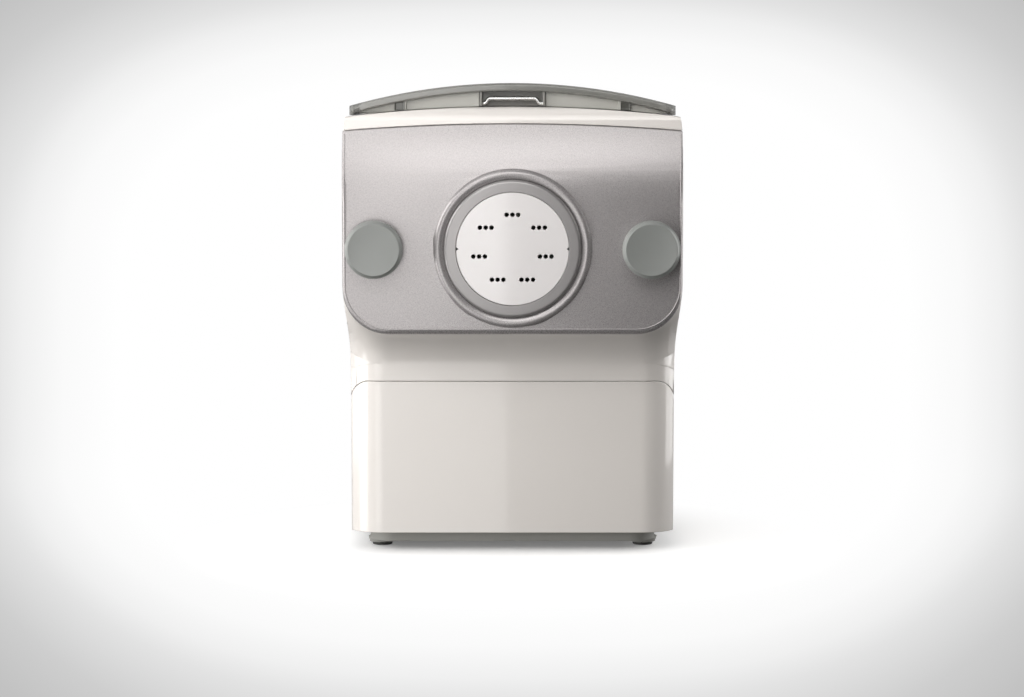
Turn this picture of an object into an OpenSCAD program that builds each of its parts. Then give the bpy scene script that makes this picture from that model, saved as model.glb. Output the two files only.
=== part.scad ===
// Electric pasta maker: a kneading trough under a hinged lid, a screw that presses the dough
// through a die in the removable front panel, a geared motor behind and a drawer for dies below.
// Millimetres. X to the right, Y to the back, Z up. The origin is on the table under the middle.

/* [Body] */
// Widest width of the white housing
body_w = 215; // [213:0.5:220]
// How much narrower each side is beside the drawer than at the panel
side_taper = 3.5; // [2:0.25:5]
// Height of the lid's crown above the table
total_h = 300; // [298:0.5:306]
// How far the lid's crown stands above the ledge that the lid lies on, at the middle
lid_rise = 14.8; // [14:0.2:16]
// Height of the housing's lower edge above the table
base_h = 11; // [10:0.5:12]
// Distance of the back face behind the origin
back_y = 171.5; // [169:0.5:176]
// Wall of the moulded shells
wall = 3; // [2.5:0.25:3.5]
// Plan radius of the housing's back corners
back_r = 36; // [28:1:40]
// Plan radius of the drawer front's corners
front_r = 25; // [18:1:25]

/* [Front panel] */
// How far each side of the panel stands in from the housing's side
panel_inset = 1; // [1:0.25:2]
// Distance of the panel's face in front of the origin
panel_face = 155; // [153:0.5:157]
// Depth of the panel from its face to its back rim
panel_deep = 16; // [14:0.5:17]
// Height of the white brow between the panel's upper edge and the ledge
brow_h = 10.7; // [10.4:0.1:13]
// Distance of the panel's lower edge below the outlet's axis
panel_drop = 54; // [52:0.5:57]
// Radius of the panel's lower corners
panel_r = 29; // [24:1:34]
// Wall of the panel's shell
panel_wall = 2.5; // [2:0.25:3]
// How far the panel slides off its posts
panel_travel = 60; // [40:1:80]

/* [Outlet and die] */
// Distance of the outlet's axis below the ledge
outlet_drop = 88.2; // [86.2:0.5:89.2]
// Radius of the die's face, seen through the ring
die_r = 35.2; // [34:0.1:36]
// Thickness of the die
die_t = 9.3; // [8:0.1:9.5]
// Groups of holes in the die
die_groups = 7; // [5:1:8]
// Radius of one hole in the die
die_hole_r = 1.4; // [1:0.1:1.6]
// Width of the flat ring round the die
ring_w = 6.7; // [5.5:0.1:7.5]
// How far the ring stands proud of the panel
ring_proud = 4; // [2.5:0.5:5]

/* [Knobs] */
// Distance of a knob's axis from the panel's side
knob_inset = 20.3; // [20:0.1:22]
// Diameter of a knob's cap
knob_d = 36; // [32:0.5:38]
// How far a knob stands out of the panel
knob_proud = 16.5; // [14:0.5:18]
// Radius of the guide posts
post_r = 4; // [3:0.25:4.5]

/* [Trough] */
// Room between the trough and the housing's side, for the lid's switch
side_room = 32; // [32:0.5:36]
// Wall of the trough
trough_wall = 2.5; // [2:0.25:3]
// Distance of the trough's rim below the ledge
rim_drop = 6.2; // [5.6:0.2:8]
// Inner radius of the pressing tube
tube_r = 23; // [21:0.5:24]
// Wall of the pressing tube
tube_wall = 4; // [3:0.25:5]
// Gap between the screw's flight and the tube
flight_gap = 0.8; // [0.5:0.1:1.5]
// Pitch of the screw's flight
screw_pitch = 23; // [18:1:30]

/* [Drive] */
// Depth behind the bulkhead, for the gearbox, the motor and the fan
drive_room = 121; // [118:0.5:124]
// Teeth of the gear on the kneading shaft
main_teeth = 72; // [66:6:72]
// Teeth of the idler's large wheel
idler_teeth = 60; // [54:6:60]
// Teeth of the idler's pinion
small_teeth = 12; // [12:1:14]
// Teeth of the motor's pinion
motor_teeth = 12; // [12:1:14]
// Module of the slow gear pair
slow_module = 1.25; // [1.1:0.05:1.25]
// Module of the fast gear pair
fast_module = 1; // [0.9:0.05:1]
// Radius of the kneading shaft
shaft_r = 8; // [7:0.5:9]
// Radius of the motor's can
motor_r = 36; // [32:0.5:38]

/* [Drawer] */
// Height of the neck between the panel's flare and the drawer's seam
neck_h = 11.3; // [10:0.1:14]
// Distance of the tray's rim below the drawer front's upper edge
tray_drop = 27.2; // [24:0.2:34]
// Distance of the tray's side in from the housing's lower edge
tray_inset = 11; // [10:0.5:15]
// Room behind the tray, up to the bulkhead
tray_room = 24.2; // [20:0.2:40]
// Width of the seam round the drawer's front
seam = 0.8; // [0.6:0.1:1.2]

/* [Lid] */
// How far each side of the lid stands in from the housing's side
lid_inset = 4.5; // [4:0.25:6]
// Thickness of the lid's plate
lid_t = 5; // [4:0.25:5]
// How far the lid's arch falls from its crown to its sides
lid_sag = 14.4; // [14:0.1:14.6]
// Width of one water slot
slot_w = 3.2; // [2.5:0.1:3.5]
// Number of water slots
slots = 11; // [7:1:13]
// Radius of the hinge pins
hinge_pin_r = 2; // [1.5:0.25:2]

/* [Controls] */
// Width of the control panel along the side
control_w = 62; // [60:1:66]
// Height of the control panel
control_h = 84; // [82:1:88]
// Radius of the small buttons
button_r = 6; // [5:0.25:6.5]
// Radius of the start button
start_r = 9; // [8:0.25:10]

/* [Base] */
// Distance of the grey base plate's side in from the housing's lower edge
base_inset = 11.5; // [10:0.5:14]
// Radius of a rubber foot
foot_r = 6.5; // [6:0.25:8]

/* [Hidden] */
$fn = 96;

gap = 0.3;              // clearance between pieces that are only assembled
run_gap = 0.05;         // radial clearance of a running fit
past = 1;               // how far a cutter passes the face that it cuts
sliver = 0.01;          // thickness of a slice that a hull is stretched over

// Colours
white = "#f3f0eb";
silver = "#b4b1b0";
ring_grey = "#a6a4a5";
knob_grey = "#8d918d";
smoke = "#8f918b";
dark = "#4a4b49";
base_grey = "#6f736f";
rubber = "#1d1e1e";
steel = "#b9bcc0";
brass = "#c2a25a";
nylon = "#e9e6dc";
board = "#2f6b45";

// Radius of an arch from half its width and its sag
function arch_r(half, sag) = (half * half + sag * sag) / (2 * sag);

// Widths
foot_w = body_w - 2 * side_taper;
panel_w = body_w - 2 * panel_inset;
lid_w = body_w - 2 * lid_inset;
base_w = foot_w - 2 * base_inset;
tray_w = foot_w - 2 * tray_inset;
knob_x = panel_w / 2 - knob_inset;

// Levels, from the lid's crown down to the drawer
flare_drop = 22.5;                         // height of the concave flare below the nose
floor_room = 4;                            // clearance under the trough
ledge_h = total_h - lid_rise;
axis_h = ledge_h - outlet_drop;
panel_high = ledge_h - brow_h;
panel_low = axis_h - panel_drop;
trough_rim = ledge_h - rim_drop;
waist_h = panel_low + 7;
shoulder_h = ledge_h - 45.2;
bend_h = shoulder_h - 15;                  // where the back begins to curve forward
drawer_top = panel_low - flare_drop - neck_h;
deck_low = drawer_top + seam + wall + gap;
lid_arch = arch_r(lid_w / 2, lid_sag);
ledge_arch = arch_r(body_w / 2, lid_sag * 0.454);
panel_arch = arch_r(panel_w / 2, lid_sag * 0.308);

// The trough takes the room that it has, sideways and above the deck
trough_r = min(body_w / 2 - side_room, axis_h - deck_low - wall - floor_room) - trough_wall;

// Fore-and-aft places of the body
face_y = -panel_face;
panel_back = face_y + panel_deep;
nose_y = panel_back + 1;                   // front wall of the frame behind the panel
flare_deep = 19;                           // how far the nose stands in front of the drawer
low_y = nose_y + flare_deep;               // face of the drawer front
split_y = low_y + front_r;                 // where the front pieces meet the main housing
bulkhead_y = back_y - drive_room;
trough_front = low_y + wall + 1;
trough_back = bulkhead_y - 4.5;
tube_front = face_y + 6;
lid_front = nose_y + 4;
lid_back = trough_back + 4;
bay_back = lid_back + 10.5;                // front edge of the fixed deck behind the lid
crown_back = bay_back + 1;                 // where the deck's curve reaches its full height
trough_out = trough_r + trough_wall;
opening_w = 2 * trough_out + 5;            // opening in the ledge over the trough
opening_front = trough_front - 3.5;
opening_back = trough_back + 4;

// Shared placing of outlines

// Extrudes an outline drawn in X and Z from y0 to y1
module along_y(y0, y1) translate([0, y1, 0]) rotate([90, 0, 0]) linear_extrude(y1 - y0) children();

// Extrudes an outline drawn in Y and Z from x0 to x1
module along_x(x0, x1) translate([x0, 0, 0]) rotate([90, 0, 90]) linear_extrude(x1 - x0) children();

// Revolves an outline, drawn as radius and depth, about the line along Y through x and z
module about_y(x = 0, z = axis_h) translate([x, 0, z]) rotate([-90, 0, 0]) rotate_extrude() children();

// Cylinder along Y from y0 to y1
module rod_y(r, y0, y1, x = 0, z = axis_h)
    translate([x, y0, z]) rotate([-90, 0, 0]) cylinder(r = r, h = y1 - y0);

// Cylinder along X from x0 to x1
module rod_x(r, x0, x1, y, z) translate([x0, y, z]) rotate([0, 90, 0]) cylinder(r = r, h = x1 - x0);

// Box between two corners
module block(low, high) translate(low) cube(high - low);

// Machine screw along an axis turned by the caller: head at the origin, shank towards -Z
module screw(head_r, head_t, r, length) {
    cylinder(r = head_r, h = head_t);
    translate([0, 0, -length]) cylinder(r = r, h = length + sliver);
}

// Rectangle with four equal round corners, drawn without offset() so that its arcs stay true
module round_rect(w, h, r) {
    square([w - 2 * r, h], center = true);
    square([w, h - 2 * r], center = true);
    for (x = [-1, 1], y = [-1, 1]) translate([x * (w / 2 - r), y * (h / 2 - r)]) circle(r = r);
}

// Slot with round ends, length l over all
module slot(l, w) {
    square([l - w, w], center = true);
    for (x = [-1, 1]) translate([x * (l - w) / 2, 0]) circle(r = w / 2);
}

// Body form

// Half width of the body at a height: upright beside the drawer, then swelling to the panel's width,
// up to the shoulder's round. Each step of the swell has its height over the panel's lower edge.
swell = [[-14, 0.16], [-4, 0.28], [4, 0.42], [12, 0.65], [20, 0.9], [26, 1]];
function side_at(z) = lookup(z, concat([[base_h, foot_w / 2], [drawer_top, foot_w / 2]],
    [for (s = swell) [panel_low + s[0], foot_w / 2 + side_taper * s[1]]], [[shoulder_h, body_w / 2],
    [total_h - 38, body_w / 2 - 0.5], [total_h - 25, body_w / 2 - 1.7],
    [total_h - 17, body_w / 2 - 3.4], [total_h - 12, body_w / 2 - 5.5]]));

// Half width under an arch of radius r whose crown is at height top
function arch_at(z, r, top) = sqrt(max(0, r * r - pow(r - max(0, top - z), 2)));

// Distance of the back face at a height: upright, then a full curve to the deck's crown
back_full = 2.6;
function back_at(z) = z < bend_h ? back_y : crown_back + (back_y - crown_back)
    * pow(max(0, 1 - pow((z - bend_h) / (total_h - bend_h), back_full)), 1 / back_full);

// Plan outline of a slice: straight front edge, round back corners
corner_steps = 9;
function slice_points(half, front, back, r) = concat([[half, front]],
    [for (n = [0:corner_steps]) let (a = 90 * n / corner_steps)
        [half - r + r * cos(a), back - r + r * sin(a)]],
    [for (n = [0:corner_steps]) let (a = 90 + 90 * n / corner_steps)
        [r - half + r * cos(a), back - r + r * sin(a)]], [[-half, front]]);

slice_levels = concat([base_h, base_h + 1, base_h + 3, drawer_top], [for (s = swell) panel_low + s[0]],
    [bend_h, shoulder_h],
    [for (drop = [50, 42, 34, 28, 23, 19, 15, 12, 9, 6.5, 4, 2, 0.8]) total_h - drop]);

// Half width and depth of a slice, drawn inwards by i; the lower edge has a small round
function slice_at(z, i, front) = let (tuck = z < base_h + 3 ? (base_h + 3 - z) * 0.8 : 0,
    half = min(side_at(z), arch_at(z, lid_arch, total_h)) - i - tuck)
    slice_points(half, front, back_at(z) - i - tuck, max(2, min(back_r - i, half - 1)));

// Closed loft through rings of equal length, each quad as two triangles
module loft(rings) {
    n = len(rings[0]);
    m = len(rings);
    last = (m - 1) * n;
    polyhedron(points = [for (ring = rings) each ring], convexity = 6, faces = concat(
        [for (k = [1:n - 2]) [0, k, k + 1]], [for (k = [1:n - 2]) [last, last + k + 1, last + k]],
        [for (j = [0:m - 2], k = [0:n - 1]) let (a = j * n + k, b = j * n + (k + 1) % n) each
            [[a, a + n, b], [b, a + n, b + n]]]));
}

// Outer form of the body behind the seam, drawn inwards by i
module body_form(i, front) loft([for (z = slice_levels)
    [for (p = slice_at(z, i, front)) [p[0], p[1], z > bend_h ? z - i : z]]]);

// Front view of the body up to the ledge, drawn inwards by i
module ledge_outline(i = 0) intersection() {
    levels = concat([base_h, drawer_top], [for (s = swell) panel_low + s[0]],
        [for (drop = [total_h - shoulder_h, 38, 25, 17, 12, 8, 0]) total_h - drop]);
    last = len(levels) - 1;
    polygon([for (s = [1, -1], n = [0:last]) let (z = levels[s > 0 ? n : last - n])
        [s * (side_at(z) - i), z]]);
    translate([0, ledge_h - ledge_arch]) circle(r = ledge_arch - i, $fn = 720);
}

// Everything above the ledge, drawn inwards by i
module above_ledge(i = 0) difference() {
    translate([-body_w, ledge_h - 40]) square([2 * body_w, 80]);
    translate([0, ledge_h - ledge_arch]) circle(r = ledge_arch - i, $fn = 720);
}

// Front view of the silver panel, drawn inwards by i
module panel_outline(i = 0) intersection() {
    union() {
        translate([i - panel_w / 2, panel_low + panel_r]) square([panel_w - 2 * i, total_h]);
        translate([panel_r - panel_w / 2, panel_low + i]) square([panel_w - 2 * panel_r, total_h]);
        for (s = [-1, 1]) translate([s * (panel_w / 2 - panel_r), panel_low + panel_r])
            circle(r = panel_r - i);
    }
    translate([0, panel_high - panel_arch]) circle(r = panel_arch - i, $fn = 720);
    polygon([for (s = [1, -1]) each [[s * (panel_w / 2 - i), s > 0 ? 0 : panel_high + 9],
        if (s > 0) [panel_w / 2 - i, shoulder_h], if (s > 0) [panel_w / 2 - i - 1, panel_high + 9],
        if (s < 0) [1 + i - panel_w / 2, panel_high + 9], if (s < 0) [i - panel_w / 2, shoulder_h],
        if (s < 0) [i - panel_w / 2, 0]]]);
}

// Front view of the drawer's front, drawn outwards by o
module drawer_outline(o = 0) {
    r = 12;
    half = side_at(drawer_top) + 2;
    translate([-half - o, 0]) square([2 * (half + o), drawer_top - r]);
    turn = side_at(drawer_top) - 0.6 - r;
    translate([-turn, 0]) square([2 * turn, drawer_top + o]);
    for (s = [-1, 1]) translate([s * turn, drawer_top - r]) circle(r = r + o);
}

// White shells

// Where the rear cover sits in the back wall
cover_w = body_w - 87;
cover_low = base_h + 15;
cover_high = axis_h + 17;

// Where the control panel sits in the right side
control_y = bulkhead_y + 46.5;
control_z = axis_h - 2;

module main_housing() color(white) difference() {
    body_form(0, split_y);
    difference() {
        body_form(wall, split_y - past);
        along_y(split_y - 2 * past, bay_back + wall) above_ledge(wall);
    }
    along_y(split_y - past, bay_back) above_ledge();
    block([-opening_w / 2, split_y - past, trough_rim - 30], [opening_w / 2, opening_back, total_h]);
    translate([0, 0, base_h - past]) linear_extrude(wall + 2 * past)
        polygon(slice_points(foot_w / 2 - wall - 2, split_y - past, back_y - wall - 2, back_r - wall));
    for (s = [-1, 1]) block([s * knuckle_x - bracket_half, hinge_y - knuckle_r, bracket_low],
        [s * knuckle_x + bracket_half, hinge_y + knuckle_r, total_h]);
    translate([switch_x, switch_y, ledge_h - 30]) cylinder(r = plunger_r + gap, h = 60);
    along_y(back_y - 2 * wall, back_y + past) translate([0, (cover_low + cover_high) / 2])
        round_rect(cover_w, cover_high - cover_low, 4 + gap);
    along_x(body_w / 2 - 2 * wall, body_w / 2 + past) translate([control_y, control_z])
        round_rect(control_w, control_h, 4 + gap);
}

// Radius of the nose's flare at depth y behind its front edge, added to the panel's corner. It
// turns not quite upright, so a faint crease is left where it meets the neck.
flare_steps = 8;
flare_turn = 78;
flare_points = concat(
    [for (n = [0:flare_steps]) let (a = flare_turn * n / flare_steps)
        [flare_drop * (1 - cos(a)) / (1 - cos(flare_turn)),
            nose_y + flare_deep * sin(a) / sin(flare_turn)]],
    [[flare_drop + 4, low_y + 4], [flare_drop + 11, low_y + 13], [flare_drop + 22, split_y]]);

module nose_form() {
    inner = panel_w / 2 - panel_r;
    low = panel_low + panel_r;
    for (s = [-1, 1]) translate([s * inner, 0, low]) rotate([-90, 0, 0]) rotate_extrude()
        polygon(concat([[0, split_y], [0, nose_y]],
            [for (p = flare_points) [panel_r + p[0], p[1]]]));
    along_x(-inner, inner) polygon(concat([[split_y, ledge_h], [nose_y, ledge_h]],
        [for (p = flare_points) [p[1], panel_low - p[0]]]));
    along_y(nose_y, split_y) translate([-body_w / 2, low]) square([body_w, total_h - low]);
}

// Lip of the frame over the panel's upper edge, in side view, with a round brow
lip_y = face_y + 8.5;
brow_r = 9;
module lip_profile() {
    translate([lip_y + brow_r, panel_high - 12]) square([split_y - lip_y - brow_r, ledge_h - panel_high + 12]);
    translate([lip_y, panel_high - 12]) square([brow_r + past, ledge_h - brow_r - panel_high + 12]);
    translate([lip_y + brow_r, ledge_h - brow_r]) circle(r = brow_r);
}

module front_frame() color(white) difference() {
    intersection() {
        along_y(lip_y - past, split_y) ledge_outline();
        union() {
            nose_form();
            translate([0, 0, base_h]) linear_extrude(waist_h) intersection() {
                round_plan(front_r);
                translate([-body_w, low_y - past]) square([2 * body_w, split_y - low_y + past]);
            }
            intersection() {
                along_x(-body_w / 2, body_w / 2) lip_profile();
                along_y(lip_y - past, nose_y + past) difference() {
                    translate([-body_w / 2, panel_high - 12]) square([body_w, 30]);
                    translate([0, panel_high - panel_arch]) circle(r = panel_arch + seam, $fn = 720);
                }
            }
        }
        along_x(-body_w, body_w) union() {
            lip_profile();
            translate([nose_y, 0]) square([split_y - nose_y, panel_high]);
        }
    }
    // hollow of the nose, and of the neck above the drawer
    along_y(nose_y + wall, split_y + past) intersection() {
        ledge_outline(wall);
        panel_outline_tall(wall + 3);
    }
    along_y(low_y + wall, split_y + past) intersection() {
        ledge_outline(wall);
        difference() {
            translate([-body_w, 0]) square([2 * body_w, ledge_h - wall]);
            drawer_outline(seam + wall);
        }
        translate([front_r - body_w / 2, 0]) square([body_w - 2 * front_r, total_h]);
    }
    // the drawer's front goes here
    along_y(low_y - past, split_y + past) drawer_outline(seam);
    // window for the trough, and the opening in the ledge over it
    along_y(nose_y - past, nose_y + wall + past) trough_outline(trough_out + 1.5, trough_rim);
    block([-opening_w / 2, opening_front, trough_rim - 8], [opening_w / 2, split_y + past, total_h]);
    for (s = [-1, 1]) rod_y(post_r + run_gap, nose_y - past, nose_y + wall + past, s * knob_x);
}

// Plan of the body with round front corners of radius r, wide enough for any height
module round_plan(r) {
    half = body_w / 2;
    translate([-half, low_y + r]) square([2 * half, 2 * body_w]);
    translate([r - half, low_y]) square([2 * (half - r), 2 * body_w]);
    for (s = [-1, 1]) translate([s * (half - r), low_y + r]) circle(r = r);
}

// The panel's outline without its upper arch, for what lies behind it
module panel_outline_tall(i = 0) {
    half = panel_w / 2;
    translate([i - half, panel_low + panel_r]) square([panel_w - 2 * i, total_h]);
    translate([panel_r - half, panel_low + i]) square([panel_w - 2 * panel_r, total_h]);
    for (s = [-1, 1]) translate([s * (half - panel_r), panel_low + panel_r]) circle(r = panel_r - i);
}

// Rear cover: a flat door in the back wall with louvres and the cord's hole
gland_x = 24 - cover_w / 2;
gland_z = cover_low + 18;
gland_r = 7;
screw_in = 8;
cover_y = back_y - 2.4;                    // the cover's outer face, let into the back wall
module rear_cover() color(white) difference() {
    along_y(cover_y - wall, cover_y) translate([0, (cover_low + cover_high) / 2])
        round_rect(cover_w - 2 * gap, cover_high - cover_low - 2 * gap, 4);
    for (n = [0:11]) along_y(cover_y - 2 * wall, back_y)
        translate([0, cover_high - 40 - 8 * n]) slot(cover_w - 44, 3.4);
    rod_y(gland_r + gap, cover_y - 2 * wall, back_y, gland_x, gland_z);
    for (x = [-1, 1], z = [cover_low + screw_in, cover_high - screw_in])
        rod_y(1.8, cover_y - 2 * wall, back_y, x * (cover_w / 2 - screw_in), z);
}

module rear_cover_screws() color(steel)
    for (x = [-1, 1], z = [cover_low + screw_in, cover_high - screw_in])
        translate([x * (cover_w / 2 - screw_in), cover_y, z]) rotate([-90, 0, 0]) screw(3.2, 1.6, 1.5, 9);

// Gland for the mains lead, with a bore that the lead passes through
lead_r = 3.6;
module cord_gland() color(dark) difference() {
    union() {
        rod_y(gland_r, cover_y - 8, cover_y + sliver, gland_x, gland_z);
        rod_y(gland_r + 3, cover_y, back_y, gland_x, gland_z);
        rod_y(gland_r + 1.8, cover_y - 8, cover_y - wall - gap, gland_x, gland_z);
    }
    rod_y(lead_r, cover_y - 9, back_y + past, gland_x, gland_z);
}

// Base, feet and chassis

foot_x = base_w / 2 - 7.5;
foot_front = low_y + 29.5;
foot_back = back_y - 24;
pad_r = foot_r + 1.6;
base_low = 4.5;
base_front = low_y + 11;
base_back = back_y - 7.5;
base_screw_x = base_w / 2 - 14.5;
base_screw_y = [foot_front + 49.5, foot_front + 129.5, foot_back - 47.5];
pad_low = 2;
base_top = base_h + wall + 1;
module base_plate() color(base_grey) difference() {
    union() {
        translate([0, (base_front + base_back) / 2, base_low]) linear_extrude(base_h - base_low - gap)
            round_rect(base_w, base_back - base_front, 16);
        translate([0, 0, base_h - gap - past]) linear_extrude(base_top - base_h + past)
            polygon(slice_points(foot_w / 2 - wall - 2 - gap, split_y + gap, back_y - wall - 2 - gap,
                back_r - wall));
        for (x = [-1, 1], y = [foot_front, foot_back]) translate([x * foot_x, y, pad_low])
            cylinder(r1 = pad_r, r2 = pad_r + 1.2, h = base_low - pad_low + 1);
    }
    for (x = [-1, 1], y = [foot_front, foot_back]) translate([x * foot_x, y, pad_low - past])
        cylinder(r = foot_r - 1, h = 4);
    for (x = [-1, 1], y = base_screw_y) translate([x * base_screw_x, y, 0]) cylinder(r = 1.8, h = 20);
    // cooling slots under the motor
    for (n = [-3:3]) translate([n * 9, bulkhead_y + 69.5, 0]) rotate([0, 0, 90]) linear_extrude(20) slot(40, 3.4);
}

module rubber_feet() color(rubber) for (x = [-1, 1], y = [foot_front, foot_back])
    translate([x * foot_x, y, 0]) {
        cylinder(r = foot_r, h = pad_low);
        translate([0, 0, pad_low - sliver]) cylinder(r = foot_r - 1.2, h = 2.5);
    }

module base_screws() color(steel) for (x = [-1, 1], y = base_screw_y)
    translate([x * base_screw_x, y, base_low]) rotate([180, 0, 0]) screw(3.2, 1.2, 1.5, base_top - base_low);

// Chassis: deck over the drawer, saddles under the trough and the bulkhead for the gearbox
chassis_half = side_at(drawer_top) - wall - gap;
module chassis() color(dark) difference() {
    union() {
        block([-chassis_half, split_y + gap, deck_low], [chassis_half, bulkhead_y, deck_low + wall]);
        for (y = [split_y + 8, -20, bulkhead_y - 9]) along_y(y, y + wall) difference() {
            translate([-chassis_half, deck_low]) square([2 * chassis_half, (axis_h - deck_low) / 2]);
            translate([0, axis_h]) circle(r = trough_out + gap);
        }
        along_y(bulkhead_y, bulkhead_y + wall) intersection() {
            ledge_outline(wall + gap);
            translate([-body_w / 2, base_top + gap]) square([body_w, ledge_h - base_top - 24]);
        }
    }
    rod_y(shaft_r + 6, bulkhead_y - past, bulkhead_y + wall + past);
}

// Front panel with its liner, ring and die

// Side view of the panel's face: upright, then leaning back towards the upper edge
lean_from = ledge_h - 59.2;
lean_r = 160;
module panel_side(i = 0) {
    translate([face_y + i, 0]) square([panel_deep - i, lean_from]);
    intersection() {
        translate([face_y + lean_r, lean_from]) circle(r = lean_r - i, $fn = 360);
        translate([face_y, lean_from - past]) square([panel_deep, 100]);
    }
}

bead_r = die_r + ring_w + 3.6;             // middle of the raised bead round the ring
bead_half = 3;
panel_hole = die_r + ring_w + gap;
panel_round = [[0, 0], [0.35, 1.6], [1.3, 2.9], [3, 3.4]];     // inset and depth of the face's round
module front_panel() color(silver) difference() {
    union() {
        intersection() {
            hull() for (p = panel_round) along_y(face_y + 3.4 - p[1], panel_back) panel_outline(p[0]);
            along_x(-panel_w, panel_w) panel_side();
        }
        about_y() translate([bead_r, face_y + 0.8]) circle(r = bead_half);
    }
    intersection() {
        along_y(face_y, panel_back + past) panel_outline(panel_wall);
        along_x(-panel_w, panel_w) translate([0, 0]) union() {
            panel_side(panel_wall + 0.8);
            translate([panel_back - past, 0]) square([3 * past, total_h]);
        }
    }
    rod_y(panel_hole, face_y - 6, panel_back + past);
    for (s = [-1, 1]) rod_y(knob_stem_r + gap, face_y - past, face_y + 6, s * knob_x);
}

// Liner: inner plate with a collar that backs the ring, and ribs
liner_t = 2.5;
collar_r = die_r + ring_w + 4;
module panel_liner() color(dark) difference() {
    union() {
        along_y(panel_back - liner_t - 1, panel_back - 1) panel_outline(panel_wall + gap);
        rod_y(collar_r, face_y + panel_wall + 1.6, panel_back - 1);
        for (s = [-1, 1]) {
            rod_y(knob_stem_r + 3.5, face_y + panel_wall + 1.6, panel_back - 1, s * knob_x);
            for (z = [panel_low + 16, panel_low + 30]) block([s > 0 ? collar_r - 6 : 12 - knob_x, face_y + 6,
                z], [s > 0 ? knob_x - 12 : 6 - collar_r, panel_back - 1 - liner_t + sliver, z + 2]);
        }
    }
    rod_y(ring_seat_r + gap + 1.5, face_y, panel_back);
    for (s = [-1, 1]) rod_y(knob_stem_r + gap, face_y, panel_back, s * knob_x);
    for (x = [-1, 1], z = liner_screw_z) rod_y(1.7, face_y + 8, panel_back, x * liner_screw_x, z);
}

liner_screw_x = panel_w / 2 - 14.5;
liner_screw_z = [panel_low + 24, panel_high - 16];
module panel_liner_screws() color(steel) for (x = [-1, 1], z = liner_screw_z)
    translate([x * liner_screw_x, panel_back - 1, z]) rotate([-90, 0, 0]) screw(2.6, 0.9, 1.5, 6);

// Ring that frames the die: flat face, round outer edge, a seat behind for the die's flange
ring_front = face_y - ring_proud;
ring_out = die_r + ring_w;
ring_seat_r = die_r + 2.6;
seat_deep = 3;
ring_back = face_y + panel_wall + 0.9;
module outlet_ring() color(ring_grey) about_y() difference() {
    union() {
        translate([die_r + gap, ring_front]) square([ring_w - gap - 1.2, ring_back - ring_front]);
        translate([die_r + gap, ring_front + 1.2]) square([ring_w - gap, ring_back - ring_front - 1.2]);
        translate([ring_out - 1.2, ring_front + 1.2]) circle(r = 1.2);
    }
    translate([0, ring_front + seat_deep]) square([ring_seat_r, 20]);
}

// Die: white disc with a flange, level rows of holes in a circle, and two locating notches
hole_ring_r = 21.3;
hole_step = 3.6;
holes_in_row = 3;
die_face = ring_front + 0.5;
module shaping_disc() color("white") difference() {
    union() {
        rod_y(die_r, die_face, die_face + die_t);
        rod_y(ring_seat_r - gap, ring_front + seat_deep + gap, die_face + die_t);
    }
    for (n = [0:die_groups - 1], k = [0:holes_in_row - 1]) let (a = 90 + 360 * n / die_groups)
        rod_y(die_hole_r, die_face - past, die_face + die_t + past,
            hole_ring_r * cos(a) + hole_step * (k - (holes_in_row - 1) / 2), axis_h + hole_ring_r * sin(a));
    for (s = [-1, 1]) rod_y(1.1, die_face - past, die_face + 1.5, s * die_r);
}

// Knobs and posts

knob_face = face_y - knob_proud;
knob_cap_t = 8.5;
knob_neck_r = knob_d / 2 - 4.5;
knob_stem_r = 8;
dish_r = knob_d / 2 - 2;
dish_deep = 1.4;
post_end = face_y - 5;
bush_r = 6.4;
module knob(s) color(knob_grey) translate([s * knob_x, 0, 0]) about_y() difference() {
    union() {
        translate([0, knob_face + 1.3]) square([knob_d / 2, knob_cap_t - 2.3]);
        translate([0, knob_face]) square([knob_d / 2 - 1.3, knob_cap_t]);
        translate([knob_d / 2 - 1.3, knob_face + 1.3]) circle(r = 1.3);
        translate([knob_d / 2 - 1, knob_face + knob_cap_t - 1]) circle(r = 1);
        translate([0, knob_face + knob_cap_t - past]) square([knob_neck_r, knob_proud - knob_cap_t + past - gap]);
        translate([0, face_y - past]) square([knob_stem_r, panel_deep - 0.8 + past]);
    }
    // shallow dish in the cap's face
    translate([0, knob_face + dish_deep - dish_ball]) circle(r = dish_ball, $fn = 360);
    translate([0, post_end - 2]) square([bush_r, 60]);
    translate([-60, knob_face - 60]) square([60, 200]);
}
dish_ball = (dish_r * dish_r + dish_deep * dish_deep) / (2 * dish_deep);

module knob_bush(s) color(brass) difference() {
    rod_y(bush_r, post_end - 1, face_y + panel_deep - 5, s * knob_x);
    rod_y(post_r + run_gap, post_end - 2, face_y + panel_deep, s * knob_x);
}

module knob_washer(s) color(steel) difference() {
    rod_y(knob_stem_r + 3, panel_back - 0.8, panel_back - 0.8 + 1.2, s * knob_x);
    rod_y(post_r + 0.6, panel_back - 3, panel_back + 3, s * knob_x);
}

module guide_posts() color(steel) for (s = [-1, 1]) {
    rod_y(post_r, post_end, nose_y + 12, s * knob_x);
    rod_y(post_r + 4, nose_y + wall + gap, nose_y + 12, s * knob_x);
}

// Lid

lid_half = lid_w / 2;
skirt_front = lid_front + 5;
flange_w = 3.2;
collar_half = trough_out;
module lid_arc(drop, low = 0) intersection() {
    translate([0, total_h - lid_arch]) circle(r = lid_arch - drop, $fn = 720);
    translate([-lid_half, ledge_h - 60]) square([lid_w, 90]);
    translate([-lid_half, low]) square([lid_w, total_h]);
}

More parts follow.
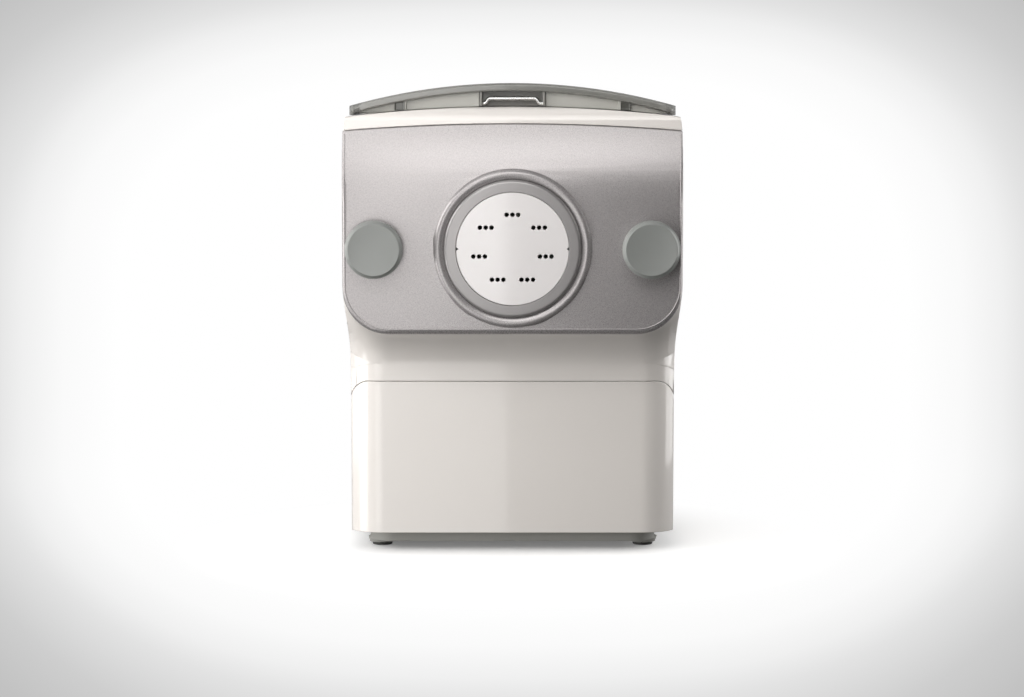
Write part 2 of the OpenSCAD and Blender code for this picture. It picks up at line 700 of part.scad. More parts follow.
lid_corner = 7;
lid_edge_h = ledge_h + 2 * gap - ledge_arch + sqrt(ledge_arch * ledge_arch - lid_half * lid_half);   // side flanges' lower edge
hinge_y = lid_back + 4.5;
hinge_z = total_h - 5.5;
knuckle_r = hinge_pin_r + 1.5;
knuckle_x = lid_half - 75;
knuckle_w = 14;
module lid_cover() color(smoke) difference() {
    union() {
        intersection() {
            along_y(lid_front - past, lid_back + past) {
                difference() {
                    lid_arc(0);
                    translate([0, total_h - lid_arch]) circle(r = lid_arch - lid_t, $fn = 720);
                }
                for (s = [-1, 1]) translate([s > 0 ? lid_half - flange_w : -lid_half, lid_edge_h])
                    square([flange_w, 4]);
            }
            translate([0, (lid_front + lid_back) / 2, ledge_h - 20]) linear_extrude(40)
                round_rect(lid_w - sliver, lid_back - lid_front, lid_corner);
        }
        for (s = [-1, 1]) translate([s * knuckle_x - knuckle_w / 2, 0, 0]) {
            rod_x(knuckle_r, 0, knuckle_w, hinge_y, hinge_z);
            block([0, lid_back - 4, hinge_z - 2], [knuckle_w, hinge_y, hinge_z + 2]);
        }
    }
    for (s = [-1, 1]) rod_x(hinge_pin_r + run_gap, s * knuckle_x - knuckle_w, s * knuckle_x + knuckle_w,
        hinge_y, hinge_z);
    // water slots across the middle
    for (n = [0:slots - 1]) translate([0, slot_y + (n - (slots - 1) / 2) * slot_step, total_h - 12])
        linear_extrude(20) slot(34, slot_w);
}
slot_y = (lid_front + lid_back) / 2;
slot_step = 9;

// Skirt: wall set back under the plate's edge, with ribs, and the collar that plugs the trough
skirt_t = 2.2;
rib_x = lid_half - 34;
collar_t = 3;
collar_low = trough_rim + 2;
module lid_skirt() color(smoke) difference() {
    intersection() {
        union() {
            difference() {
                block([flange_w + gap - lid_half, skirt_front, 0], [lid_half - flange_w - gap, lid_back - 5, total_h]);
                block([flange_w + gap + skirt_t - lid_half, skirt_front + skirt_t, -past],
                    [lid_half - flange_w - gap - skirt_t, lid_back - 5 - skirt_t, total_h + past]);
                block([-body_w, -body_w, -past], [body_w, body_w, collar_low]);
            }
            difference() {
                block([-collar_half, trough_front, collar_low], [collar_half, trough_back, total_h]);
                block([collar_t - collar_half, trough_front + collar_t, 0],
                    [collar_half - collar_t, trough_back - collar_t, total_h + past]);
            }
            for (s = [-1, 1]) block([s * rib_x - 2.2, skirt_front - 2.4, ledge_h - 8], [s * rib_x + 2.2,
                skirt_front + 1, total_h]);
        }
        along_y(lid_front, lid_back) lid_arc(lid_t + sliver);
    }
    // clear of the ledge outside the opening
    difference() {
        along_y(lid_front - past, lid_back + past) difference() {
            translate([-body_w, 0]) square([2 * body_w, total_h]);
            difference() {
                above_ledge();
                translate([0, gap + ledge_h - ledge_arch]) circle(r = ledge_arch, $fn = 720);
            }
        }
        block([-opening_w / 2 + 1, opening_front + 1, 0], [opening_w / 2 - 1, opening_back - 1, total_h]);
    }
    block([-latch_half - gap, lid_front - past, ledge_h - 9], [latch_half + gap, skirt_front + skirt_t + past,
        total_h]);
}

module lid_seal() color("#c9cac6") difference() {
    block([-collar_half, trough_front, trough_rim + gap], [collar_half, trough_back, collar_low]);
    block([collar_t - collar_half, trough_front + collar_t, 0], [collar_half - collar_t, trough_back - collar_t,
        total_h]);
}

// Latch: dark pocket under the plate's front edge, open below, with a push bail in its sides
latch_half = 20.6;
pocket_t = 1.4;
latch_front = lid_front + 1.5;
latch_back = latch_front + 10;
module latch_housing() color(dark) intersection() {
    difference() {
        block([-latch_half, latch_front, ledge_h + gap], [latch_half, latch_back, total_h]);
        block([pocket_t - latch_half, latch_front - past, 0],
            [latch_half - pocket_t, latch_back - pocket_t, total_h]);
        rod_x(bail_r + run_gap, -latch_half - past, latch_half + past, bail_y, bail_z);
    }
    along_y(lid_front, lid_back) lid_arc(lid_t + sliver);
}

// Bail: round wire, level at its ends, up through two bends and across
bail_r = 1.1;
bail_y = latch_front + 3.6;
bail_z = ledge_h + 1.9;
bail_half = 18.2;
bail_bend_r = 2;
bail_bend = 54;
bail_leg = 1.9;
bail_rise = 2 * bail_bend_r * (1 - cos(bail_bend)) + bail_leg * sin(bail_bend);
bail_left = concat([[-bail_half - 1.5, 0, 0]],
    [for (a = [0:13.5:bail_bend]) [bail_bend_r * sin(a) - bail_half, bail_bend_r * (1 - cos(a)), a]],
    [for (a = [bail_bend:-13.5:0]) let (x = 2 * bail_bend_r * sin(bail_bend) + bail_leg * cos(bail_bend))
        [x - bail_bend_r * sin(a) - bail_half, bail_rise - bail_bend_r * (1 - cos(a)), a]]);
bail_path = concat(bail_left, [for (n = [len(bail_left) - 1:-1:0]) let (p = bail_left[n]) [-p[0], p[1], -p[2]]]);
module latch_bail() color(steel) {
    for (s = [-1, 1]) rod_x(bail_r, s > 0 ? bail_half + 0.4 : 0.2 - latch_half,
        s > 0 ? latch_half - 0.2 : -bail_half - 0.4, bail_y, bail_z);
    loft([for (p = bail_path) [for (n = [0:11]) let (a = 30 * n, r = bail_r - 0.02)
        [p[0] - r * sin(a) * sin(p[2]), bail_y + r * cos(a), bail_z + p[1] + r * sin(a) * cos(p[2])]]]);
}

// Hinge bracket: ears on feet that are let into the ledge
ear_t = 4;
bracket_half = knuckle_w / 2 + gap + ear_t;
bracket_low = ledge_h - 2.4;
bracket_top = ledge_h + 1;
module hinge_bracket() color(base_grey) difference() {
    union() for (s = [-1, 1]) {
        for (e = [-1, 1]) translate([s * knuckle_x + e * (bracket_half - ear_t / 2) - ear_t / 2, 0, 0]) {
            rod_x(knuckle_r, 0, ear_t, hinge_y, hinge_z);
            block([0, hinge_y - knuckle_r, bracket_low], [ear_t, hinge_y + knuckle_r, hinge_z]);
        }
        block([s * knuckle_x - bracket_half, hinge_y - knuckle_r, bracket_low],
            [s * knuckle_x + bracket_half, hinge_y + knuckle_r, bracket_top]);
    }
    for (s = [-1, 1]) rod_x(hinge_pin_r + 0.02, s * knuckle_x - 20, s * knuckle_x + 20, hinge_y, hinge_z);
}

module hinge_pins() color(steel) for (s = [-1, 1])
    rod_x(hinge_pin_r, s * knuckle_x - knuckle_w / 2 - ear_t - 0.5, s * knuckle_x + knuckle_w / 2 + ear_t + 0.5,
        hinge_y, hinge_z);

// Kneading and pressing

// Front view of the trough: half circle below, straight walls above, up to a rim
module trough_outline(r, rim) {
    translate([0, axis_h]) circle(r = r);
    translate([-r, axis_h]) square([2 * r, rim - axis_h]);
}

module mixing_trough() color("#dfe2e0") difference() {
    union() {
        along_y(trough_front, trough_back) trough_outline(trough_out, trough_rim);
        block([-trough_out - 1.2, trough_front + 6, trough_rim - 6], [trough_out + 1.2, trough_back, trough_rim - 3]);
        // stiffening bead round the outlet's collar
        rod_y(tube_r + tube_wall + 4, trough_front - 4, trough_front + past);
    }
    along_y(trough_front + 3.5, trough_back - 3) trough_outline(trough_r, trough_rim + past);
    rod_y(tube_r + tube_wall + gap, trough_front - 5, trough_front + 5);
    rod_y(seal_r, trough_back - 4, trough_back + past);
}

seal_r = shaft_r + 5;
module shaft_seal() color("#b5554a") difference() {
    rod_y(seal_r, trough_back - 3, trough_back + 1.5);
    rod_y(shaft_r + run_gap, trough_back - 4, trough_back + 3);
}

// Pressing tube: a barrel for the screw that widens to a cup behind the die
tube_back = trough_front + 24;
cup_r = ring_seat_r - gap;
module extruding_tube() color("#c9cbcb") about_y() difference() {
    union() {
        translate([0, tube_front + 4]) square([tube_r + tube_wall, tube_back - tube_front - 4]);
        translate([0, tube_front + gap]) square([cup_r, 8]);
        polygon([[0, tube_front + 8], [cup_r, tube_front + 8], [tube_r + tube_wall, tube_front + 17],
            [0, tube_front + 17]]);
        translate([0, trough_front - 4 - 3 - gap]) square([tube_r + tube_wall + 4, 3]);
    }
    translate([-past, tube_front + 4]) square([tube_r + past, tube_back - tube_front]);
    polygon([[-past, tube_front - past], [cup_r - 2.5, tube_front - past], [cup_r - 2.5, tube_front + 3],
        [tube_r, tube_front + 9], [-past, tube_front + 9]]);
}

// One cross-section of the screw's flight, t turns along its helix about Y
function flight_ring(t, r0, r1, half, front, pitch) = let (a = 360 * t, y = front + pitch * t)
    [for (p = [[r0, -half], [r1, -half * 0.55], [r1, half * 0.55], [r0, half]])
        [p[0] * cos(a), y + p[1], p[0] * sin(a)]];

module flight(r0, r1, half, front, pitch, turns, steps) loft([for (i = [0:turns * steps])
    flight_ring(i / steps, r0, r1, half, front, pitch)]);

screw_front = tube_front + 4;
screw_back = tube_back + 22;
flight_half = 2.6;
flight_turns = floor(24 * (screw_back - screw_front - 2 * flight_half - 1) / screw_pitch) / 24;
module extruding_screw() color(nylon) translate([0, 0, axis_h]) {
    rod_y(9, screw_front, screw_back, 0, 0);
    flight(8, tube_r - flight_gap, flight_half, screw_front + flight_half + 0.5, screw_pitch, flight_turns, 24);
}

// Paddle: hub with two offset loops, each two arms and a bar that sweeps the wall
paddle_front = screw_back;
paddle_back = trough_back - 3 - 4;
sweep_r = trough_r - 7;
bar_r = 4;
module loop(y0, y1, turn) translate([0, 0, axis_h]) rotate([0, turn, 0]) {
    for (y = [y0, y1]) translate([0, y, 0]) {
        cylinder(r = bar_r, h = sweep_r);
        translate([0, 0, sweep_r]) sphere(r = bar_r);
    }
    rod_y(bar_r, y0, y1, 0, sweep_r);
    for (y = [(y0 + y1) / 2]) translate([0, y, sweep_r * 0.45]) cylinder(r = bar_r * 0.8, h = sweep_r * 0.55);
}

module mixing_paddle() color(nylon) difference() {
    union() {
        rod_y(13, paddle_front, paddle_back);
        loop(paddle_front + 6, paddle_front + 64, 0);
        loop(paddle_back - 70, paddle_back - 6, 180);
        rod_y(bar_r, paddle_front + 6, paddle_front + 64, 0, axis_h + sweep_r * 0.45);
    }
    along_y(paddle_back - coupling_deep - 1, paddle_back + past) translate([0, axis_h])
        square(2 * coupling_half + 2 * gap, center = true);
}

coupling_half = 5;
coupling_deep = 22;
module drive_shaft() color(steel) {
    rod_y(shaft_r, paddle_back + gap, shaft_back);
    along_y(paddle_back - coupling_deep, paddle_back + 1) translate([0, axis_h])
        square(2 * coupling_half, center = true);
}

// Gear train

pressure_angle = 25;
backlash = 0.16;         // taken off each tooth, along the pitch circle
tip_clearance = 0.25;    // in modules

function involute(base, r) = let (a = acos(min(1, base / r))) tan(a) * 180 / PI - a;
function pitch_r(teeth, m) = teeth * m / 2;

// Half angle of a tooth at radius r
function tooth_half(teeth, m, r) = let (p = pitch_r(teeth, m), b = p * cos(pressure_angle))
    90 / teeth - backlash / p * 90 / PI + involute(b, p) - involute(b, max(b, r));

// Gear outline with one tooth's middle at angle phase
module gear_outline(teeth, m, phase) {
    p = pitch_r(teeth, m);
    root = p - m * (1 + tip_clearance);
    tip = p + m;
    radii = [root, p - 0.5 * m, p + 0.25 * m, tip];
    polygon([for (n = [0:teeth - 1], k = [0:7]) let (
        r = radii[k < 4 ? k : 7 - k], side = k < 4 ? -1 : 1,
        a = phase + 360 * n / teeth + side * tooth_half(teeth, m, r)) [r * cos(a), r * sin(a)]]);
}

slow_distance = pitch_r(main_teeth, slow_module) + pitch_r(small_teeth, slow_module);
fast_distance = pitch_r(idler_teeth, fast_module) + pitch_r(motor_teeth, fast_module);
idler_angle = -58;
idler_x = slow_distance * cos(idler_angle);
idler_z = axis_h + slow_distance * sin(idler_angle);
motor_angle = 180 + acos(idler_x / fast_distance);     // brings the motor under the kneading shaft
motor_z = idler_z + fast_distance * sin(motor_angle);
case_y = bulkhead_y + wall;
slow_y = case_y + 5.5;
slow_t = 10;
fast_y = slow_y + slow_t + 4;
fast_t = 8;
gear_cover_y = fast_y + fast_t + 3;
shaft_back = gear_cover_y + 4;
idler_pin_r = 3;

module main_gear() color(nylon) difference() {
    union() {
        along_y(slow_y, slow_y + slow_t) translate([0, axis_h]) gear_outline(main_teeth, slow_module,
            idler_angle);
        rod_y(14, slow_y - 1, slow_y + slow_t + 5);
    }
    rod_y(shaft_r, slow_y - past - 1, slow_y + slow_t + 6);
    for (n = [0:5]) rod_y(8, slow_y - past, slow_y + slow_t + past, 27.5 * cos(60 * n + 30),
        axis_h + 27.5 * sin(60 * n + 30));
}

module idler_gear() color(nylon) difference() {
    union() {
        along_y(slow_y - 1, fast_y) translate([idler_x, idler_z]) gear_outline(small_teeth, slow_module,
            idler_angle + 180 + 180 / small_teeth);
        along_y(fast_y, fast_y + fast_t) translate([idler_x, idler_z]) gear_outline(idler_teeth,
            fast_module, motor_angle);
    }
    rod_y(idler_pin_r + run_gap, slow_y - 2, fast_y + fast_t + past, idler_x, idler_z);
    for (n = [0:4]) rod_y(5, fast_y + 2, fast_y + fast_t + past, idler_x + 18 * cos(72 * n),
        idler_z + 18 * sin(72 * n));
}

module idler_pin() color(steel) rod_y(idler_pin_r, case_y, gear_cover_y + 3, idler_x, idler_z);

module motor_pinion() color(steel) difference() {
    along_y(fast_y - 1, fast_y + fast_t + 1) translate([0, motor_z]) gear_outline(motor_teeth, fast_module,
        motor_angle - 180 + 180 / motor_teeth);
    rod_y(rotor_shaft_r, fast_y - 2, fast_y + fast_t + 2, 0, motor_z);
}

// Outline of the gearbox, drawn inwards by i: a pear round the three axes
case_pad = 3.5;
module case_outline(i = 0) hull() {
    translate([0, axis_h]) circle(r = pitch_r(main_teeth, slow_module) + slow_module + case_pad - i);
    translate([idler_x, idler_z]) circle(r = pitch_r(idler_teeth, fast_module) + fast_module + case_pad - i);
    translate([0, motor_z]) circle(r = 16 - i);
}

case_screws = [for (a = [20, 95, 160, 215, 290]) [pitch_r(main_teeth, slow_module) + slow_module + case_pad + 2, a]];
module case_lugs(r) for (p = case_screws) if (p[1] < 250 || idler_x < 0)
    translate([p[0] * cos(p[1]), axis_h + p[0] * sin(p[1])]) circle(r = r);

module gearbox_case() color("#8b8f94") difference() {
    union() {
        along_y(case_y, gear_cover_y) {
            case_outline();
            case_lugs(5);
        }
    }
    along_y(case_y + 2.5, gear_cover_y + past) case_outline(2);
    rod_y(bearing_r, case_y - past, case_y + 4);
    rod_y(idler_pin_r, case_y - past, case_y + 4, idler_x, idler_z);
    along_y(case_y + 6, gear_cover_y + past) case_lugs(1.5);
}

module gearbox_cover() color("#8b8f94") difference() {
    along_y(gear_cover_y, gear_cover_y + 3) {
        case_outline();
        case_lugs(5);
    }
    rod_y(bearing_r, gear_cover_y - past, gear_cover_y + 4);
    rod_y(idler_pin_r, gear_cover_y - past, gear_cover_y + 4, idler_x, idler_z);
    rod_y(9, gear_cover_y - past, gear_cover_y + 4, 0, motor_z);
    along_y(gear_cover_y - past, gear_cover_y + 4) case_lugs(1.7);
}

module gearbox_screws() color(steel) for (p = case_screws) if (p[1] < 250)
    translate([p[0] * cos(p[1]), gear_cover_y + 3, axis_h + p[0] * sin(p[1])]) rotate([-90, 0, 0])
        screw(3, 2, 1.4, 14);

bearing_r = shaft_r + 4.5;
module shaft_bearings() color(steel) for (y = [case_y, gear_cover_y]) difference() {
    rod_y(bearing_r, y, y + (y == case_y ? 2.5 : 3));
    rod_y(shaft_r + run_gap, y - past, y + 5);
}

// Motor

motor_y = gear_cover_y + 3;
bell_t = 6;
motor_long = 42;
rotor_r = motor_r - 15;
rotor_shaft_r = 3;
motor_bearing_r = 6;
fan_y = motor_y + motor_long + 4;
module motor_stator() color("#6b6e72") difference() {
    rod_y(motor_r, motor_y + bell_t, motor_y + motor_long - bell_t, 0, motor_z);
    rod_y(rotor_r + 0.6, motor_y, motor_y + motor_long, 0, motor_z);
}

module motor_bell(y, shaft) difference() {
    rod_y(motor_r + 1, y, y + bell_t, 0, motor_z);
    rod_y(rotor_shaft_r + run_gap, y - past, y + bell_t + past, 0, motor_z);
    for (n = [0:5]) rod_y(5.5, y - past, y + bell_t + past, 23 * cos(60 * n), motor_z + 23 * sin(60 * n));
}

module motor_front_bell() color("#9a9da1") motor_bell(motor_y);
module motor_rear_bell() color("#9a9da1") motor_bell(motor_y + motor_long - bell_t);

module motor_rotor() color("#8c6a4a") {
    rod_y(rotor_shaft_r, fast_y - 1, fan_y + 9, 0, motor_z);
    rod_y(rotor_r, motor_y + bell_t + 1.5, motor_y + motor_long - bell_t - 1.5, 0, motor_z);
}

fan_blades = 9;
module cooling_fan() color(dark) difference() {
    union() {
        rod_y(9, fan_y, fan_y + 8, 0, motor_z);
        for (n = [0:fan_blades - 1]) translate([0, fan_y, motor_z]) rotate([0, 360 * n / fan_blades, 0])
            translate([0, 0, 7]) rotate([0, 0, 34]) block([-0.9, 0, 0], [0.9, 9, 22]);
    }
    rod_y(rotor_shaft_r, fan_y - past, fan_y + 12, 0, motor_z);
    for (y = [fan_y - 10, fan_y + 8.5]) block([-50, y, motor_z - 50], [50, y + 10, motor_z + 50]);
}

// Controls on the right side

bezel_out = body_w / 2 - 1.3;              // let into the side, so that the buttons end flush
bezel_t = 2.5;
bezel_in = bezel_out - bezel_t;
window_w = 44;
window_h = 24;
window_z = control_z + control_h / 2 - 8 - window_h / 2;
// Each button: distance along Y from the panel's middle, height from its lower edge, radius
button_places = [[-19, 37, button_r], [0, 37, button_r], [19, 37, button_r], [-15, 15, button_r],
    [13, 15, start_r]];

module at_side(y, z) translate([0, control_y + y, z]) children();

module control_bezel() color(base_grey) difference() {
    along_x(bezel_in, bezel_out) translate([control_y, control_z])
        round_rect(control_w - 2 * gap, control_h - 2 * gap, 4);
    along_x(bezel_in - past, bezel_out + past) translate([control_y, window_z])
        round_rect(window_w, window_h, 2);
    for (b = button_places) rod_x(b[2] + gap, bezel_in - past, bezel_out + past, control_y + b[0],
        control_z - control_h / 2 + b[1]);
}

module display_window() color("#16181a") along_x(bezel_in, bezel_out - 0.3)
    translate([control_y, window_z]) round_rect(window_w - 2 * gap, window_h - 2 * gap, 1.7);

button_proud = 1.2;
button_travel = 1;
board_x = bezel_in - 9;
board_t = 1.6;
module push_button(n) color(silver) {
    b = button_places[n];
    z = control_z - control_h / 2 + b[1];
    rod_x(b[2], bezel_in - 1.5, bezel_out + button_proud - 0.5, control_y + b[0], z);
    translate([bezel_out + button_proud - 0.5, control_y + b[0], z]) rotate([0, 90, 0])
        cylinder(r1 = b[2], r2 = b[2] - 0.5, h = 0.5);
    rod_x(b[2] + 1.2, bezel_in - 2.6, bezel_in - 1.4, control_y + b[0], z);
    rod_x(1.8, board_x + board_t + 3.2, bezel_in - 2.5, control_y + b[0], z);
}

module control_board() color(board) {
    along_x(board_x, board_x + board_t) translate([control_y, control_z])
        square([control_w - 4, control_h - 4], center = true);
    block([board_x + board_t - sliver, control_y - window_w / 2 + 2, window_z - window_h / 2 + 2],
        [bezel_in - gap, control_y + window_w / 2 - 2, window_z + window_h / 2 - 2]);
    for (b = button_places) at_side(b[0], control_z - control_h / 2 + b[1])
        block([board_x + board_t - sliver, -3, -3], [board_x + board_t + 1.9, 3, 3]);
}

// Power board on the left inner wall: plate on four posts, transformer, capacitors and relay
power_x = -body_w / 2 + wall + 6;
power_y = control_y + 12;
power_z = axis_h - 3;
module power_board() color(board) {
    block([power_x, power_y - 28, power_z - 42], [power_x + board_t, power_y + 28, power_z + 42]);
    for (y = [-23, 23], z = [-37, 37]) rod_x(3, wall + 0.1 - side_at(power_z + z - 3), power_x + sliver,
        power_y + y, power_z + z);
    block([power_x + board_t - sliver, power_y - 20, power_z - 32], [power_x + 26, power_y + 8, power_z - 8]);
    for (z = [6, 26]) rod_x(8, power_x + board_t - sliver, power_x + 24, power_y - 8, power_z + z);
    block([power_x + board_t - sliver, power_y + 8, power_z + 2], [power_x + 16, power_y + 24, power_z + 22]);
}

// Switch under the ledge beside the trough; its plunger reaches the closed lid
switch_x = opening_w / 2 + 10;
switch_y = trough_back - 26;
switch_low = ledge_h - 25;
plunger_r = 2;
module lid_switch() color(dark) {
    block([switch_x - 8, switch_y - 9, switch_low], [switch_x + 8, switch_y + 9, switch_top]);
    translate([switch_x, switch_y, switch_low]) cylinder(r = plunger_r, h = total_h - lid_t - 0.6 - switch_low
        - (lid_arch - sqrt(lid_arch * lid_arch - pow(switch_x + plunger_r, 2))));
}
switch_top = ledge_h - wall - 0.2 - (ledge_arch - sqrt(ledge_arch * ledge_arch - pow(switch_x + 8, 2)));

// Drawer

drawer_low = base_h + 0.8;
module drawer_front() color(white) difference() {
    intersection() {
        along_y(low_y, split_y - seam) intersection() {
            ledge_outline();
            drawer_outline();
        }
        translate([0, 0, drawer_low]) linear_extrude(total_h) round_plan(front_r);
    }
    intersection() {
        along_y(low_y + wall, split_y) intersection() {
            ledge_outline(wall);
            drawer_outline(-wall);
            translate([-body_w / 2, drawer_low + wall]) square([body_w, total_h]);
        }
        translate([0, wall, 0]) linear_extrude(total_h) round_plan(front_r);
    }
}

tray_y = low_y + wall + gap;
tray_low = base_top + 3;
tray_wall = 2;
tray_deep = bulkhead_y - tray_room - tray_y;
tray_high = drawer_top - tray_drop - tray_low;
module drawer_tray() color("#e3e1dc") difference() {
    translate([0, tray_y + tray_deep / 2, tray_low]) linear_extrude(tray_high)
        round_rect(tray_w, tray_deep, 9);
    for (k = [-1, 0, 1]) translate([k * (tray_w - 4) / 3, tray_y + tray_deep / 2, tray_low + tray_wall])
        linear_extrude(tray_high) round_rect((tray_w - 4) / 3 - 2, tray_deep - 2 * tray_wall, 5);
}

module drawer_rails() color(steel) for (s = [-1, 1]) {
    x = s * (tray_w / 2 + 2.2);
    block([min(x - 1.8, x + 1.8), split_y + 6, base_top], [max(x - 1.8, x + 1.8), bulkhead_y - 1, base_top + 14]);
    block([min(x, x - s * 10), split_y + 6, base_top], [max(x, x - s * 10), bulkhead_y - 1, tray_low - gap]);
}

main_housing();
front_frame();
rear_cover();
base_plate();
rubber_feet();
base_screws();
rear_cover_screws();
cord_gland();
chassis();
front_panel();
panel_liner();
panel_liner_screws();
outlet_ring();
shaping_disc();
guide_posts();
knob(-1);  // left_knob
knob(1);  // right_knob
knob_bush(-1);  // left_knob_bush
knob_bush(1);  // right_knob_bush
knob_washer(-1);  // left_knob_washer
knob_washer(1);  // right_knob_washer
lid_cover();
lid_skirt();
lid_seal();
latch_housing();
latch_bail();
hinge_bracket();
hinge_pins();
mixing_trough();
shaft_seal();
extruding_tube();
mixing_paddle();
extruding_screw();
drive_shaft();
main_gear();
idler_gear();
idler_pin();
gearbox_case();
gearbox_cover();
gearbox_screws();
shaft_bearings();
motor_stator();
motor_front_bell();
motor_rear_bell();
motor_rotor();
motor_pinion();
cooling_fan();
control_bezel();
display_window();
push_button(3);  // power_button
push_button(0);  // program_button
push_button(1);  // portion_button
push_button(2);  // extrude_button
push_button(4);  // start_button
control_board();
power_board();
lid_switch();
drawer_front();
drawer_tray();
drawer_rails();
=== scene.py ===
import math

import bmesh
import bpy
from mathutils import Matrix, Vector


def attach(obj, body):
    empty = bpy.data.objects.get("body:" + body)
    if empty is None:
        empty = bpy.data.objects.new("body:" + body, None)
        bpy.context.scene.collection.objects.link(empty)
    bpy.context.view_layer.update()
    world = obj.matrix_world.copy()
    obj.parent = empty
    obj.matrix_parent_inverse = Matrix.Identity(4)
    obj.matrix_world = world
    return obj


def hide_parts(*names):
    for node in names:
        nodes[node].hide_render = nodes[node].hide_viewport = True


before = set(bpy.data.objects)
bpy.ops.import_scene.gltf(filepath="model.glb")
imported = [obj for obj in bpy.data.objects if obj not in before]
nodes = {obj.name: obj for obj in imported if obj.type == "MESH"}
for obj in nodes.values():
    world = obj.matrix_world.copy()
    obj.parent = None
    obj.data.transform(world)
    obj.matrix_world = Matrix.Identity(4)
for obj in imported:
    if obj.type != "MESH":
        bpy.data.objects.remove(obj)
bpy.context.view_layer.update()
scene = bpy.context.scene

# Studio: the machine stands on a round sweep of white paper. Most of the soft boxes stand before it,
# from its middle to the left and above, three on its left, one on its right, and two hang high up.
scene.view_settings.view_transform = "Standard"

lens = bpy.data.cameras.new("camera")
lens.sensor_width = 36.0
lens.lens = 98.64
lens.shift_x = -0.0005
camera = bpy.data.objects.new("camera", lens)
camera.location = (0.0, -1.905, 0.300)
camera.rotation_euler = (math.radians(90 - 5.406), 0.0, 0.0)
scene.collection.objects.link(camera)
scene.camera = camera


def soft_box(name, place, aim, size, radiance):
    """A soft box of a size in metres that shines from its place towards its aim."""
    lamp = bpy.data.lights.new(name, "AREA")
    lamp.shape = "RECTANGLE"
    lamp.size, lamp.size_y = size
    lamp.energy = radiance * math.pi * size[0] * size[1]
    lamp.color = (1.0, 0.99, 0.975)
    light = bpy.data.objects.new(name, lamp)
    light.location = place
    light.rotation_euler = (Vector(aim) - Vector(place)).to_track_quat("-Z", "Y").to_euler()
    light.visible_camera = False
    scene.collection.objects.link(light)


soft_box("left_low", (-0.0825, -0.72, -0.015), (-0.0825, 0.0, -0.015), (0.155, 0.27), 1.35)
soft_box("left_strip", (-0.285, -0.72, -0.015), (-0.285, 0.0, -0.015), (0.23, 0.27), 2.2)
soft_box("left_tall", (-0.0825, -0.72, 0.25), (-0.0825, 0.0, 0.25), (0.155, 0.26), 3.1)
soft_box("crown", (0.0, -0.72, 0.465), (0.0, 0.0, 0.465), (0.32, 0.17), 4.0)
soft_box("left_wing", (-0.48, -0.72, 0.15), (-0.48, 0.0, 0.15), (0.64, 0.60), 0.5)
soft_box("high_left", (-0.30, -0.72, 0.675), (-0.30, 0.0, 0.675), (1.0, 0.35), 2.35)
soft_box("left_side", (-0.85, -0.475, 0.40), (0.0, -0.475, 0.40), (0.45, 0.90), 5.2)
soft_box("right_back", (0.85, 0.05, 0.40), (0.0, 0.05, 0.40), (0.60, 0.90), 3.3)
soft_box("left_rear", (-0.85, 0.0, 0.40), (0.0, 0.0, 0.40), (0.5, 0.90), 1.5)
soft_box("left_foot", (-0.40, -0.72, -0.30), (-0.40, 0.0, -0.30), (0.44, 0.40), 0.8)
soft_box("left_floor", (-0.85, -0.475, -0.22), (0.0, -0.475, -0.22), (0.45, 0.34), 3.0)
soft_box("high_key", (-0.45, -0.85, 1.15), (0.0, -0.15, 0.15), (0.7, 0.7), 1.25)
soft_box("overhead", (-0.2, -0.2, 1.2), (-0.2, -0.1, 0.0), (0.8, 0.8), 0.3)

# The room's walls glow behind the machine and above it.
room = bpy.data.worlds.new("room")
scene.world = room
room.use_nodes = True
air = room.node_tree
heading = air.nodes.new("ShaderNodeTexCoord")
behind = air.nodes.new("ShaderNodeVectorMath")
behind.operation = "DOT_PRODUCT"
behind.inputs[1].default_value = (0.0, 0.87, 0.5)
glow = air.nodes.new("ShaderNodeValToRGB")
glow.color_ramp.elements[0].position = 0.02
glow.color_ramp.elements[0].color = (0.02, 0.02, 0.02, 1)
glow.color_ramp.elements[1].position = 0.5
glow.color_ramp.elements[1].color = (0.4, 0.4, 0.405, 1)


def wire(tree, *pairs):
    """Links each pair's output to its input."""
    for source, target in pairs:
        tree.links.new(source, target)


wire(air, (heading.outputs["Generated"], behind.inputs[0]), (behind.outputs["Value"], glow.inputs["Fac"]),
     (glow.outputs["Color"], air.nodes["Background"].inputs["Color"]))


